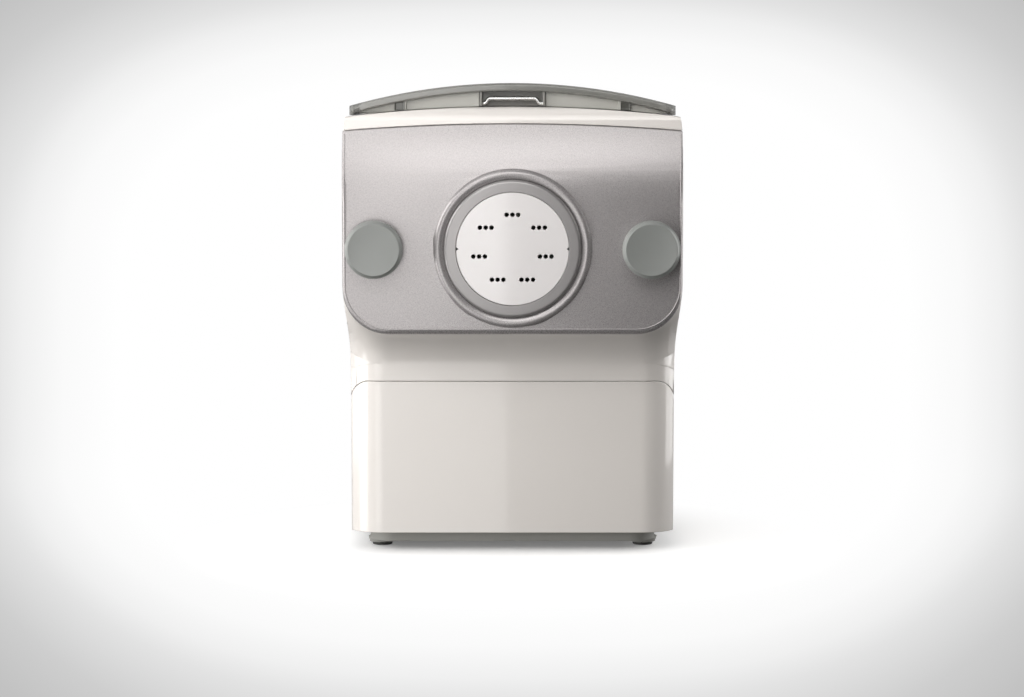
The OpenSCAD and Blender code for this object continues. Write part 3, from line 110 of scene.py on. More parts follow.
def paper():
    """White paper with painted shade that turns it pale grey towards its borders. It glows by itself, a
    painted light, but round the feet.
    """
    made = bpy.data.materials.new("white_paper")
    made.use_nodes = True
    sheet = made.node_tree
    face = sheet.nodes["Principled BSDF"]
    face.inputs["Roughness"].default_value = 0.95
    face.inputs["Specular IOR Level"].default_value = 0.0
    where = sheet.nodes.new("ShaderNodeTexCoord")
    at = sheet.nodes.new("ShaderNodeSeparateXYZ")
    sheet.links.new(where.outputs["Object"], at.inputs[0])

    def sum_of(kind, *values):
        node = sheet.nodes.new("ShaderNodeMath")
        node.operation = kind
        for spot, value in enumerate(values):
            if isinstance(value, (int, float)):
                node.inputs[spot].default_value = value
            else:
                sheet.links.new(value, node.inputs[spot])
        return node.outputs[0]

    def along(axis, rate, start):
        return sum_of("MULTIPLY_ADD", at.outputs[axis], rate, start)

    def fade(value, outside, inside):
        node = sheet.nodes.new("ShaderNodeMapRange")
        node.interpolation_type = "SMOOTHSTEP"
        node.inputs["From Min"].default_value = outside
        node.inputs["From Max"].default_value = inside
        sheet.links.new(value, node.inputs["Value"])
        return node.outputs["Result"]

    # Share of the way to the border: sideways, and towards the front or up the wall.
    half_width = sum_of("MAXIMUM", along("Y", 0.1825, 0.352), 0.05)
    wide = sum_of("DIVIDE", sum_of("ABSOLUTE", at.outputs["X"]), half_width)
    deep = sum_of("MAXIMUM", sum_of("MAXIMUM", along("Y", -0.93, 0.49), along("Z", 1.626, 0.27)), 0.0)
    corner = 3.0
    border = sum_of("POWER", sum_of("ADD", sum_of("POWER", wide, corner), sum_of("POWER", deep, corner)),
                    1 / corner)
    # Painted shade: the paper's tone falls from white to pale grey towards its borders.
    painted_falloff = sheet.nodes.new("ShaderNodeValToRGB")
    stops = ((0.78, 1.0), (0.883, 0.956), (0.961, 0.871), (1.018, 0.768), (1.138, 0.617), (1.244, 0.539))
    ramp_from = 0.5
    while len(painted_falloff.color_ramp.elements) < len(stops):
        painted_falloff.color_ramp.elements.new(0.5)
    for stop, (place, value) in zip(painted_falloff.color_ramp.elements, stops):
        stop.position = place - ramp_from
        stop.color = (value, value, value, 1)
    sheet.links.new(sum_of("SUBTRACT", border, ramp_from), painted_falloff.inputs["Fac"])

    # Round the feet the paper takes the lights' shade in place of its own glow, and right under the machine
    # its glow is cut further as a painted shadow.
    foot = sheet.nodes.new("ShaderNodeVectorMath")
    foot.operation = "SUBTRACT"
    foot.inputs[1].default_value = (0.0, -0.10, 0.0)
    off = sheet.nodes.new("ShaderNodeVectorMath")
    off.operation = "LENGTH"
    shade = sheet.nodes.new("ShaderNodeMix")
    shade.data_type = "RGBA"
    shade.inputs["A"].default_value = (0.0, 0.0, 0.0, 1)
    near = fade(off.outputs["Value"], 0.225, 0.12)
    # Painted shadow: right under the machine the paper loses more of its glow.
    under = [fade(sum_of("ABSOLUTE", at.outputs[axis]), outside, inside)
             for axis, outside, inside in (("X", 0.112, 0.068), ("Y", 0.155, 0.11))]
    lit_share, glow_lost, painted_shadow_under = 0.85, 0.65, 0.22
    own = sum_of("MULTIPLY_ADD", near, -glow_lost, 1.0)
    left_over = sum_of("MULTIPLY_ADD", sum_of("MULTIPLY", *under), -painted_shadow_under, own)

    tooth = sheet.nodes.new("ShaderNodeTexNoise")
    tooth.inputs["Scale"].default_value = 900.0
    press = sheet.nodes.new("ShaderNodeBump")
    press.inputs["Strength"].default_value = 0.05
    press.inputs["Distance"].default_value = 0.0002
    wire(sheet, (where.outputs["Object"], foot.inputs[0]), (foot.outputs["Vector"], off.inputs[0]),
         (sum_of("MULTIPLY", near, lit_share), shade.inputs["Factor"]),
         (painted_falloff.outputs["Color"], shade.inputs["B"]), (shade.outputs["Result"], face.inputs["Base Color"]),
         (painted_falloff.outputs["Color"], face.inputs["Emission Color"]),
         (left_over, face.inputs["Emission Strength"]), (where.outputs["Object"], tooth.inputs["Vector"]),
         (tooth.outputs["Fac"], press.inputs["Height"]), (press.outputs["Normal"], face.inputs["Normal"]))
    return made


floor_r, bend_r, wall_top = 2.4, 0.7, 3.4
sweep = bmesh.new()
bend = [(floor_r + bend_r * math.sin(a), bend_r - bend_r * math.cos(a))
        for a in (math.radians(d) for d in range(6, 91, 6))]
line = [(0.0, 0.0), (floor_r, 0.0)] + bend + [(floor_r + bend_r, wall_top)]
rim = [sweep.verts.new((x, 0.0, z)) for x, z in line]
edges = [sweep.edges.new(pair) for pair in zip(rim, rim[1:])]
bmesh.ops.spin(sweep, geom=rim + edges, cent=(0, 0, 0), axis=(0, 0, 1), angle=2 * math.pi, steps=96,
               use_merge=True)
bmesh.ops.remove_doubles(sweep, verts=sweep.verts[:], dist=1e-5)
bmesh.ops.recalc_face_normals(sweep, faces=sweep.faces[:])
bmesh.ops.reverse_faces(sweep, faces=sweep.faces[:])
mesh = bpy.data.meshes.new("paper_sweep")
sweep.to_mesh(mesh)
sweep.free()
mesh.materials.append(paper())
mesh.shade_smooth()
paper_sweep = bpy.data.objects.new("paper_sweep", mesh)
for kind in ("visible_diffuse", "visible_glossy", "visible_shadow"):
    setattr(paper_sweep, kind, False)
scene.collection.objects.link(paper_sweep)


# Base plate: grey glass-filled plastic, moulded with a dull spark-eroded grain, screwed up into the
# housing. Its lower edges are eased, and the pads at its corners carry the feet.
def shade_group(name, inputs):
    """A node group for the look of one kind of skin, with its input and output nodes."""
    group = bpy.data.node_groups.new(name, "ShaderNodeTree")
    for label, kind, value in inputs:
        made = group.interface.new_socket(label, in_out="INPUT", socket_type="NodeSocket" + kind)
        made.default_value = value
    for label, kind in (("Colour", "Color"), ("Roughness", "Float"), ("Height", "Float")):
        group.interface.new_socket(label, in_out="OUTPUT", socket_type="NodeSocket" + kind)
    return group, group.nodes.new("NodeGroupInput"), group.nodes.new("NodeGroupOutput")


moulding, m_in, m_out = shade_group(
    "moulded_skin",
    [("Colour", "Color", (0.8, 0.8, 0.8, 1)), ("Deeper", "Color", (0.7, 0.7, 0.7, 1)),
     ("Patch Scale", "Float", 9.0), ("Grain Scale", "Float", 900.0),
     ("Smooth", "Float", 0.2), ("Dull", "Float", 0.35), ("Wipe", "Float", 0.05)])
where = moulding.nodes.new("ShaderNodeTexCoord")
patch = moulding.nodes.new("ShaderNodeTexNoise")
patch.inputs["Detail"].default_value = 4.0
grain = moulding.nodes.new("ShaderNodeTexNoise")
grain.inputs["Detail"].default_value = 3.0
drag = moulding.nodes.new("ShaderNodeMapping")
drag.inputs["Scale"].default_value = (14.0, 14.0, 120.0)
drag.inputs["Rotation"].default_value = (0.35, 0.5, 0.9)
wipe = moulding.nodes.new("ShaderNodeTexNoise")
wipe.inputs["Scale"].default_value = 3.0
wipe.inputs["Detail"].default_value = 5.0
blend = moulding.nodes.new("ShaderNodeMix")
blend.data_type = "RGBA"
gloss = moulding.nodes.new("ShaderNodeMapRange")
gloss.inputs["From Min"].default_value = 0.3
gloss.inputs["From Max"].default_value = 0.7
streak = moulding.nodes.new("ShaderNodeMath")
streak.operation = "MULTIPLY_ADD"
wire(moulding,
     (where.outputs["Object"], patch.inputs["Vector"]), (m_in.outputs["Patch Scale"], patch.inputs["Scale"]),
     (where.outputs["Object"], grain.inputs["Vector"]), (m_in.outputs["Grain Scale"], grain.inputs["Scale"]),
     (where.outputs["Object"], drag.inputs["Vector"]), (drag.outputs["Vector"], wipe.inputs["Vector"]),
     (patch.outputs["Fac"], blend.inputs["Factor"]), (m_in.outputs["Colour"], blend.inputs["A"]),
     (m_in.outputs["Deeper"], blend.inputs["B"]), (patch.outputs["Fac"], gloss.inputs["Value"]),
     (m_in.outputs["Smooth"], gloss.inputs["To Min"]), (m_in.outputs["Dull"], gloss.inputs["To Max"]),
     (wipe.outputs["Fac"], streak.inputs[0]), (m_in.outputs["Wipe"], streak.inputs[1]),
     (gloss.outputs["Result"], streak.inputs[2]), (blend.outputs["Result"], m_out.inputs["Colour"]),
     (streak.outputs["Value"], m_out.inputs["Roughness"]), (grain.outputs["Fac"], m_out.inputs["Height"]))


def finish_of(name, group, settings, relief=0.0, depth=0.0003, **shader):
    """A material from a skin's node group, with a bump and constants on the shader's own sockets."""
    material = bpy.data.materials.new(name)
    material.use_nodes = True
    tree = material.node_tree
    surface = tree.nodes["Principled BSDF"]
    look = tree.nodes.new("ShaderNodeGroup")
    look.node_tree = group
    for label, value in settings.items():
        look.inputs[label].default_value = (*value, 1) if label in ("Colour", "Deeper") else value
    tree.links.new(look.outputs["Colour"], surface.inputs["Base Color"])
    tree.links.new(look.outputs["Roughness"], surface.inputs["Roughness"])
    if relief:
        bump = tree.nodes.new("ShaderNodeBump")
        bump.inputs["Strength"].default_value = relief
        bump.inputs["Distance"].default_value = depth
        tree.links.new(look.outputs["Height"], bump.inputs["Height"])
        tree.links.new(bump.outputs["Normal"], surface.inputs["Normal"])
    for label, value in shader.items():
        surface.inputs[label.replace("_", " ")].default_value = value
    return material


def copy_of(node, cuts=()):
    """A closed copy of a node's solid, with its flat faces whole but for the cuts asked for."""
    work = bmesh.new()
    work.from_mesh(nodes[node].data)
    bmesh.ops.remove_doubles(work, verts=work.verts, dist=2e-6)
    bmesh.ops.dissolve_limit(work, angle_limit=math.radians(0.3), use_dissolve_boundaries=False,
                             verts=work.verts[:], edges=work.edges[:], delimit={"NORMAL"})
    for axis, place in cuts:
        way = Vector([1.0 if axis == letter else 0.0 for letter in "xyz"])
        bmesh.ops.bisect_plane(work, geom=work.verts[:] + work.edges[:] + work.faces[:], dist=1e-6,
                               plane_co=way * place, plane_no=way)
    return work


def break_edges(work, width, steps=3, sharp=28.0, wanted=lambda edge: True):
    """A small round on each sharp edge that has faces wide enough on both of its sides."""
    def room(edge):
        return min(2 * f.calc_area() / max(e.calc_length() for e in f.edges) for f in edge.link_faces)
    arris = [e for e in work.edges if e.is_manifold and e.calc_face_angle() > math.radians(sharp)
             and room(e) > 1.7 * width and wanted(e)]
    bmesh.ops.bevel(work, geom=arris, offset=width, offset_type="OFFSET", segments=steps, profile=0.5,
                    affect="EDGES", clamp_overlap=False, material=-1)


def piece(name, work, material, body, slot, *stands_for):
    """Turns the work into a smooth-shaded piece that rides on a body and stands for CAD nodes."""
    made = bpy.data.meshes.new(name)
    work.to_mesh(made)
    work.free()
    if "custom_normal" in made.attributes:
        made.attributes.remove(made.attributes["custom_normal"])
    made.materials.clear()
    made.materials.append(material)
    made.shade_smooth()
    thing = bpy.data.objects.new(name, made)
    scene.collection.objects.link(thing)
    even = thing.modifiers.new("even_normals", "WEIGHTED_NORMAL")
    even.keep_sharp = False
    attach(thing, body)
    if stands_for:
        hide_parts(*stands_for)


def eased(name, node, width, material, body, slot, **how):
    """A piece that copies one node and has its sharp edges rounded."""
    work = copy_of(node)
    if width:
        break_edges(work, width, **how)
    piece(name, work, material, body, slot, node)


def dress(material, *names):
    """Gives a material to CAD nodes that stay as they are."""
    for name in names:
        made = nodes[name].data
        made.materials.clear()
        made.materials.append(material)


base_grey = finish_of("base_grey", moulding, {
    "Colour": (0.41, 0.405, 0.38), "Deeper": (0.37, 0.365, 0.34), "Grain Scale": 2600.0, "Smooth": 0.42,
    "Dull": 0.55}, relief=0.25, depth=0.0002)
eased("base_tray", "base_plate", 0.0006, base_grey, "body", "base_grey", steps=2)

# Feet: four black rubber buttons with a soft lower edge and the dull skin of their mould. Each is
# set under one of the pads at the base plate's corners.
rubber = finish_of("foot_rubber", moulding, {
    "Colour": (0.055, 0.055, 0.05), "Deeper": (0.04, 0.04, 0.037), "Grain Scale": 1800.0, "Smooth": 0.6,
    "Dull": 0.75}, relief=0.3, depth=0.0002)
eased("foot_buttons", "rubber_feet", 0.0006, rubber, "body", "foot_rubber")

# Screws, pins, posts, rails and shafts: bright zinc-plated or ground steel, turned on a lathe, which
# leaves fine lines round the axis. They stay as the CAD has them and get their metal here.
turning, t_in, t_out = shade_group(
    "turned_lines",
    [("Colour", "Color", (0.6, 0.6, 0.6, 1)), ("Deeper", "Color", (0.5, 0.5, 0.5, 1)),
     ("Centre", "Vector", (0.0, 0.0, 0.0)), ("Lines", "Float", 5000.0),
     ("Smooth", "Float", 0.2), ("Dull", "Float", 0.32)])
where = turning.nodes.new("ShaderNodeTexCoord")
shift = turning.nodes.new("ShaderNodeVectorMath")
shift.operation = "SUBTRACT"
flat = turning.nodes.new("ShaderNodeVectorMath")
flat.operation = "MULTIPLY"
flat.inputs[1].default_value = (1.0, 0.0, 1.0)
radius = turning.nodes.new("ShaderNodeVectorMath")
radius.operation = "LENGTH"
spread = turning.nodes.new("ShaderNodeMath")
spread.operation = "MULTIPLY"
swirl = turning.nodes.new("ShaderNodeTexNoise")
swirl.noise_dimensions = "1D"
swirl.inputs["Scale"].default_value = 1.0
swirl.inputs["Detail"].default_value = 3.0
cloud = turning.nodes.new("ShaderNodeTexNoise")
cloud.inputs["Scale"].default_value = 40.0
blend = turning.nodes.new("ShaderNodeMix")
blend.data_type = "RGBA"
gloss = turning.nodes.new("ShaderNodeMapRange")
wire(turning,
     (where.outputs["Object"], shift.inputs[0]), (t_in.outputs["Centre"], shift.inputs[1]),
     (shift.outputs["Vector"], flat.inputs[0]), (flat.outputs["Vector"], radius.inputs[0]),
     (radius.outputs["Value"], spread.inputs[0]), (t_in.outputs["Lines"], spread.inputs[1]),
     (spread.outputs["Value"], swirl.inputs["W"]), (where.outputs["Object"], cloud.inputs["Vector"]),
     (swirl.outputs["Fac"], blend.inputs["Factor"]), (t_in.outputs["Colour"], blend.inputs["A"]),
     (t_in.outputs["Deeper"], blend.inputs["B"]), (cloud.outputs["Fac"], gloss.inputs["Value"]),
     (t_in.outputs["Smooth"], gloss.inputs["To Min"]), (t_in.outputs["Dull"], gloss.inputs["To Max"]),
     (blend.outputs["Result"], t_out.inputs["Colour"]), (gloss.outputs["Result"], t_out.inputs["Roughness"]),
     (swirl.outputs["Fac"], t_out.inputs["Height"]))
steel = finish_of("ground_steel", turning, {
    "Colour": (0.56, 0.57, 0.58), "Deeper": (0.48, 0.49, 0.5), "Lines": 4000.0}, relief=0.1, depth=0.0001,
    Metallic=1.0)
dress(steel, "base_screws", "rear_cover_screws", "panel_liner_screws", "guide_posts", "left_knob_washer",
      "right_knob_washer", "hinge_pins", "drive_shaft", "idler_pin", "gearbox_screws", "shaft_bearings",
      "motor_rotor", "motor_pinion", "drawer_rails")

# Housing, rear cover and front frame: warm white ABS from polished moulds, glossy, with the faint
# orange peel and the fine wipe marks that such a skin gets. Every outer edge has a small round.
gloss_white = finish_of("gloss_white", moulding, {
    "Colour": (0.785, 0.748, 0.715), "Deeper": (0.76, 0.723, 0.69), "Patch Scale": 6.0, "Grain Scale": 420.0,
    "Smooth": 0.28, "Dull": 0.34, "Wipe": 0.08}, relief=0.02, depth=0.0004, Coat_Weight=0.8, Coat_IOR=1.6,
    Coat_Roughness=0.05)
eased("housing_shell", "main_housing", 0.0008, gloss_white, "body", "housing_white")
eased("back_door", "rear_cover", 0.0005, gloss_white, "body", "housing_white", steps=2)

# The front frame's brow ends in a thin lip that comes down close to the panel's upper edge, so only
# a hairline of shade is left between them. The flare's corners are drawn back onto the neck's round.
brow_y, brow_r, brow_z, hairline = -0.1381, 1.2817, -1.0064, 0.0005
neck_x, neck_y, neck_r, neck_side = 0.0842, -0.097, 0.0218, 0.0203
neck_back, neck_low, neck_top = -0.1005, 0.1155, 0.170
flare_x, flare_z, flare_r, flare_from, flare_to, flare_foot = 0.0775, 0.172, 0.029, 0.003, 0.0225, 0.0226
work = copy_of("front_frame", cuts=[("x", x) for x in (-0.1, 0.1, -0.05, 0.0, 0.05)])
for v in work.verts:
    if v.co.y < brow_y and abs(math.hypot(v.co.x, v.co.z - brow_z) - brow_r) < 4e-5:
        v.co.z -= hairline
    across = min(abs(v.co.x) - neck_x, neck_side)
    if across < 0 or v.co.y > neck_back or not neck_low < v.co.z < neck_top:
        continue
    reach = math.hypot(max(abs(v.co.x) - flare_x, 0), max(flare_z - v.co.z, 0)) - flare_r
    share = min(max((reach - flare_from) / (flare_to - flare_from), 0), 1)
    turned_back = neck_r - math.sqrt(neck_r ** 2 - across ** 2)
    if reach > flare_foot:
        v.co.y = max(v.co.y, neck_y - neck_r + turned_back)
    else:
        v.co.y += turned_back * share * share * (3 - 2 * share)
break_edges(work, 0.0005)
piece("front_nose", work, gloss_white, "body", "housing_white", "front_frame")

# Gland of the mains lead and the chassis behind the shells: black nylon and dark structural plastic,
# moulded with a dull grain. The panel's liner, the fan and the lid's switch are of the same kind.
dark = finish_of("dark_plastic", moulding, {
    "Colour": (0.05, 0.05, 0.048), "Deeper": (0.038, 0.038, 0.036), "Grain Scale": 2200.0, "Smooth": 0.38,
    "Dull": 0.5}, relief=0.2, depth=0.0002)
eased("lead_gland", "cord_gland", 0.0005, dark, "body", "dark_plastic")
dress(dark, "chassis", "panel_liner", "cooling_fan", "lid_switch")

# Gearbox and motor ends: die-cast aluminium with a pebbled skin. The stator is lacquered iron. Its
# axis lies below that of the shaft, screw, outlet and knobs.
axis_z, motor_z = 0.197, 0.12963
cast = finish_of("cast_alloy", moulding, {
    "Colour": (0.5, 0.51, 0.52), "Deeper": (0.42, 0.43, 0.44), "Patch Scale": 60.0, "Grain Scale": 1400.0,
    "Smooth": 0.4, "Dull": 0.55}, relief=0.35, depth=0.0003, Metallic=0.9)
dress(cast, "gearbox_case", "gearbox_cover", "motor_front_bell", "motor_rear_bell")
iron = finish_of("stator_iron", turning, {
    "Colour": (0.1, 0.1, 0.105), "Deeper": (0.06, 0.06, 0.065), "Centre": (0.0, 0.0, motor_z),
    "Lines": 900.0, "Smooth": 0.35, "Dull": 0.5}, relief=0.2, Metallic=0.6)
dress(iron, "motor_stator")

# Kneading parts: off-white nylon for the paddle, screw and gears, pressed alloy for the tube, a pale
# grey trough, red rubber for the shaft's seal and a pale one under the lid.
nylon = finish_of("food_nylon", moulding, {
    "Colour": (0.78, 0.755, 0.69), "Deeper": (0.73, 0.70, 0.63), "Patch Scale": 25.0, "Grain Scale": 1600.0,
    "Smooth": 0.35, "Dull": 0.45}, relief=0.1)
eased("kneading_paddle", "mixing_paddle", 0.0, nylon, "mixer", "nylon")
eased("dough_screw", "extruding_screw", 0.0, nylon, "mixer", "nylon")
dress(nylon, "main_gear", "idler_gear")
tube_alloy = finish_of("tube_alloy", turning, {
    "Colour": (0.55, 0.555, 0.56), "Deeper": (0.48, 0.485, 0.49), "Centre": (0.0, 0.0, axis_z),
    "Lines": 3000.0, "Smooth": 0.25, "Dull": 0.35}, relief=0.15, depth=0.0001, Metallic=1.0)
eased("pressing_tube", "extruding_tube", 0.0004, tube_alloy, "body", "gear_metal")
trough_grey = finish_of("trough_plastic", moulding, {
    "Colour": (0.66, 0.68, 0.67), "Deeper": (0.62, 0.64, 0.63), "Grain Scale": 700.0, "Smooth": 0.1,
    "Dull": 0.2, "Wipe": 0.1}, relief=0.03)
eased("dough_trough", "mixing_trough", 0.0006, trough_grey, "body", "trough_plastic")
seal_red = finish_of("seal_red", moulding, {
    "Colour": (0.42, 0.1, 0.07), "Deeper": (0.36, 0.08, 0.055), "Grain Scale": 1500.0, "Smooth": 0.4,
    "Dull": 0.5}, relief=0.1)
dress(seal_red, "shaft_seal")
seal_pale = finish_of("seal_pale", moulding, {
    "Colour": (0.58, 0.58, 0.56), "Deeper": (0.52, 0.52, 0.5), "Grain Scale": 1500.0, "Smooth": 0.4,
    "Dull": 0.5}, relief=0.1)
dress(seal_pale, "lid_seal")

# Drawer: the glossy white front wraps round both corners of the machine, on a plain satin tray with
# three compartments. Its upper edge closes the seam to a fine line.
front_top, seam_shut = 0.0985, 0.0005
work = copy_of("drawer_front", cuts=[("x", -0.079), ("x", 0.079)])
for v in work.verts:
    rise = sum((f.normal for f in v.link_faces if abs(f.normal.y) < 0.3 and f.normal.z > 0.2), Vector())
    if v.co.z > front_top and rise.length > 0:
        v.co += rise.normalized() * seam_shut
break_edges(work, 0.0005)
piece("drawer_face", work, gloss_white, "drawer", "housing_white", "drawer_front")
tray_white = finish_of("tray_plastic", moulding, {
    "Colour": (0.70, 0.685, 0.65), "Deeper": (0.66, 0.645, 0.61), "Grain Scale": 1500.0, "Smooth": 0.35,
    "Dull": 0.45}, relief=0.08)
eased("drawer_box", "drawer_tray", 0.0005, tray_white, "drawer", "tray_plastic")

# Lid: smoke-grey clear plastic, moulded in one with a full round along its front edge. A wall with
# two dark ribs is set back under the edge. It turns on two steel pins in grey ears.
smoke = finish_of("smoke_plastic", moulding, {
    "Colour": (0.25, 0.25, 0.232), "Deeper": (0.225, 0.225, 0.208), "Patch Scale": 14.0, "Grain Scale": 600.0,
    "Smooth": 0.09, "Dull": 0.16, "Wipe": 0.06}, relief=0.02, Coat_Weight=0.6, Coat_Roughness=0.04, Alpha=0.8)
arch_r, arch_z, plate = 0.37557, -0.07557, 0.005
rim_x, rim_front, rim_back = 0.0955, -0.1265, 0.0425
work = copy_of("lid_cover", cuts=[("x", -0.09), ("x", 0.09), ("y", -0.12)])


def on_arch(edge, drop):
    return all(abs(math.hypot(v.co.x, v.co.z - arch_z) - arch_r + drop) < 6e-5 for v in edge.verts)


def on_rim(edge):
    return all(abs(v.co.x) > rim_x or not rim_front <= v.co.y <= rim_back for v in edge.verts)


break_edges(work, 0.0019, steps=5, wanted=lambda e: on_arch(e, 0.0) and on_rim(e))
break_edges(work, 0.0012, steps=4, wanted=lambda e: on_arch(e, plate) and e.verts[0].co.y < rim_front)
piece("lid_plate", work, smoke, "lid", "lid_smoke", "lid_cover")
# Painted light: the wall's smoke plastic is a lighter, duller copy of the lid's, lightened to stand in for
# the light on it in its recess.
wall_smoke_painted_light = finish_of("wall_smoke_painted_light", moulding, {
    "Colour": (0.54, 0.535, 0.5), "Deeper": (0.49, 0.485, 0.45), "Patch Scale": 14.0, "Grain Scale": 900.0,
    "Smooth": 0.26, "Dull": 0.34}, relief=0.03, Alpha=0.88)
eased("lid_wall", "lid_skirt", 0.0004, wall_smoke_painted_light, "lid", "lid_smoke")
rib_dark = finish_of("rib_smoke", moulding, {
    "Colour": (0.1, 0.1, 0.09), "Deeper": (0.075, 0.075, 0.068), "Patch Scale": 60.0, "Grain Scale": 900.0,
    "Smooth": 0.12, "Dull": 0.2}, relief=0.03)
rib_size, (rib_x, rib_y, rib_z) = (0.0062, 0.0024, 0.0056), (0.0712, -0.1312, 0.2856)
for side, name in ((-1, "left_lid_rib"), (1, "right_lid_rib")):
    work = bmesh.new()
    bmesh.ops.create_cube(work, size=1.0)
    bmesh.ops.scale(work, vec=rib_size, verts=work.verts[:])
    bmesh.ops.translate(work, vec=(side * rib_x, rib_y, rib_z), verts=work.verts[:])
    front = [f for f in work.faces if f.normal.y < -0.9]
    bmesh.ops.inset_region(work, faces=front, thickness=0.0012, depth=-0.0006)
    break_edges(work, 0.0003, steps=2)
    piece(name, work, rib_dark, "lid", "lid_smoke")
eased("hinge_ears", "hinge_bracket", 0.0004, base_grey, "body", "base_grey", steps=2)

# Latch: a dark grey pocket under the lid's front edge with a low tongue at its foot, and a bail of
# polished steel wire that is bent up from two short feet. The wire is a little thicker than the CAD's.
pocket_grey = finish_of("pocket_grey", moulding, {
    "Colour": (0.23, 0.225, 0.21), "Deeper": (0.2, 0.195, 0.18), "Grain Scale": 2200.0, "Smooth": 0.25,
    "Dull": 0.35}, relief=0.1, depth=0.0002)
eased("latch_pocket", "latch_housing", 0.0003, pocket_grey, "lid", "dark_plastic", steps=2)
chrome = finish_of("bright_wire", moulding, {
    "Colour": (0.64, 0.64, 0.63), "Deeper": (0.58, 0.58, 0.57), "Patch Scale": 200.0, "Grain Scale": 3000.0,
    "Smooth": 0.2, "Dull": 0.28}, relief=0.02, Metallic=1.0)
wire_extra = 0.0003
work = copy_of("latch_bail")
work.normal_update()
for v, way in [(v, v.normal.copy()) for v in work.verts]:
    v.co += way * wire_extra
piece("latch_wire", work, chrome, "latch", "bright_steel", "latch_bail")

# Controls on the right side: a grey bezel, a black display window, four small buttons and a larger
# start button in silver-grey, with the circuit boards behind.
eased("control_frame", "control_bezel", 0.0004, base_grey, "body", "base_grey", steps=2)
black_glass = finish_of("display_black", moulding, {
    "Colour": (0.012, 0.013, 0.016), "Deeper": (0.02, 0.021, 0.025), "Patch Scale": 30.0,
    "Grain Scale": 300.0, "Smooth": 0.04, "Dull": 0.09}, relief=0.01, Coat_Weight=0.6, Coat_Roughness=0.03)
eased("display_pane", "display_window", 0.0003, black_glass, "body", "display", steps=2)
button_grey = finish_of("button_silver", moulding, {
    "Colour": (0.48, 0.48, 0.475), "Deeper": (0.44, 0.44, 0.435), "Patch Scale": 90.0, "Grain Scale": 2400.0,
    "Smooth": 0.3, "Dull": 0.4}, relief=0.1, Metallic=0.35)
for which in ("power", "program", "portion", "extrude", "start"):
    eased(which + "_key", which + "_button", 0.0003, button_grey, which + "_button", "button_silver", steps=2)
board_green = finish_of("board_green", moulding, {
    "Colour": (0.02, 0.14, 0.06), "Deeper": (0.05, 0.24, 0.11), "Patch Scale": 400.0, "Grain Scale": 1200.0,
    "Smooth": 0.3, "Dull": 0.45}, relief=0.2)
dress(board_green, "control_board", "power_board")

# Front panel: one moulding under silver lacquer, a satin skin full of fine metal flake. Its upper
# part leans back, its face ends in a crisp edge, and a round bead stands up round the outlet.
flaking, f_in, f_out = shade_group(
    "metal_flake",
    [("Colour", "Color", (0.6, 0.6, 0.6, 1)), ("Deeper", "Color", (0.5, 0.5, 0.5, 1)),
     ("Flake Scale", "Float", 5200.0), ("Smooth", "Float", 0.3), ("Dull", "Float", 0.38)])
where = flaking.nodes.new("ShaderNodeTexCoord")
flake = flaking.nodes.new("ShaderNodeTexVoronoi")
one = flaking.nodes.new("ShaderNodeSeparateColor")
blend = flaking.nodes.new("ShaderNodeMix")
blend.data_type = "RGBA"
gloss = flaking.nodes.new("ShaderNodeMapRange")
wire(flaking,
     (where.outputs["Object"], flake.inputs["Vector"]), (f_in.outputs["Flake Scale"], flake.inputs["Scale"]),
     (flake.outputs["Color"], one.inputs["Color"]), (one.outputs["Red"], blend.inputs["Factor"]),
     (f_in.outputs["Colour"], blend.inputs["A"]), (f_in.outputs["Deeper"], blend.inputs["B"]),
     (one.outputs["Blue"], gloss.inputs["Value"]), (f_in.outputs["Smooth"], gloss.inputs["To Min"]),
     (f_in.outputs["Dull"], gloss.inputs["To Max"]), (blend.outputs["Result"], f_out.inputs["Colour"]),
     (gloss.outputs["Result"], f_out.inputs["Roughness"]), (one.outputs["Green"], f_out.inputs["Height"]))
lacquer = finish_of("silver_lacquer", flaking, {
    "Colour": (0.37, 0.35, 0.352), "Deeper": (0.36, 0.341, 0.343), "Smooth": 0.265, "Dull": 0.285},
    relief=0.01, depth=0.00005, Metallic=0.45, Coat_Weight=0.15, Coat_Roughness=0.2)
face_y, face_half, face_low, face_round = -0.155, 0.1065, 0.143, 0.029
lean_from, lean_r, lean_top, upright_to = 0.226, 0.160, 0.280, 0.230
round_in, round_deep, corner_from, crisp = 0.0031, 0.0035, 0.020, 0.42
work = copy_of("front_panel", cuts=[("x", x) for x in (-0.1032, 0.1032, -0.052, 0.0, 0.052)] +
               [("z", 0.1465), ("z", 0.222)])
for v in work.verts:
    side = math.copysign(1.0, v.co.x)
    over, under = abs(v.co.x) - (face_half - face_round), face_low + face_round - v.co.z
    if v.co.y > face_y + round_deep and v.co.z < upright_to:
        continue
    if over > 0 and under > 0:
        away = Vector((side * over, 0, -under))
    elif over > under:
        away = Vector((side * over, 0, 0))
    else:
        away = Vector((0, 0, -under))
    inset = face_round - away.length
    if -1e-5 < inset < round_in and away.length > corner_from:
        way = away.normalized()
        v.co += way * inset * (1 - crisp) * (1 + way.z)


def leant(z):
    """How far the face leans back at a height."""
    return lean_r - math.sqrt(lean_r ** 2 - max(0.0, min(z, lean_top) - lean_from) ** 2)


# The bead stands a little further out than on the CAD: its crest and, a little more, its foot.
bead_in, bead_out, bead_wide, crest_out, foot_out, crest_at = 0.0427, 0.0486, 0.0059, 0.0012, 0.0014, 0.45
for v in work.verts:
    out = Vector((v.co.x, 0, v.co.z - axis_z))
    if v.co.y < face_y + leant(v.co.z) + 0.0001 and bead_in < out.length < bead_out:
        along = (out.length - bead_in + 0.0001) / bead_wide
        shift_out = foot_out * along if along > 0.99 else crest_out * min(along / crest_at, 1)
        v.co += out.normalized() * shift_out
break_edges(work, 0.0005, sharp=40.0)
piece("silver_fascia", work, lacquer, "panel", "panel_silver", "front_panel")

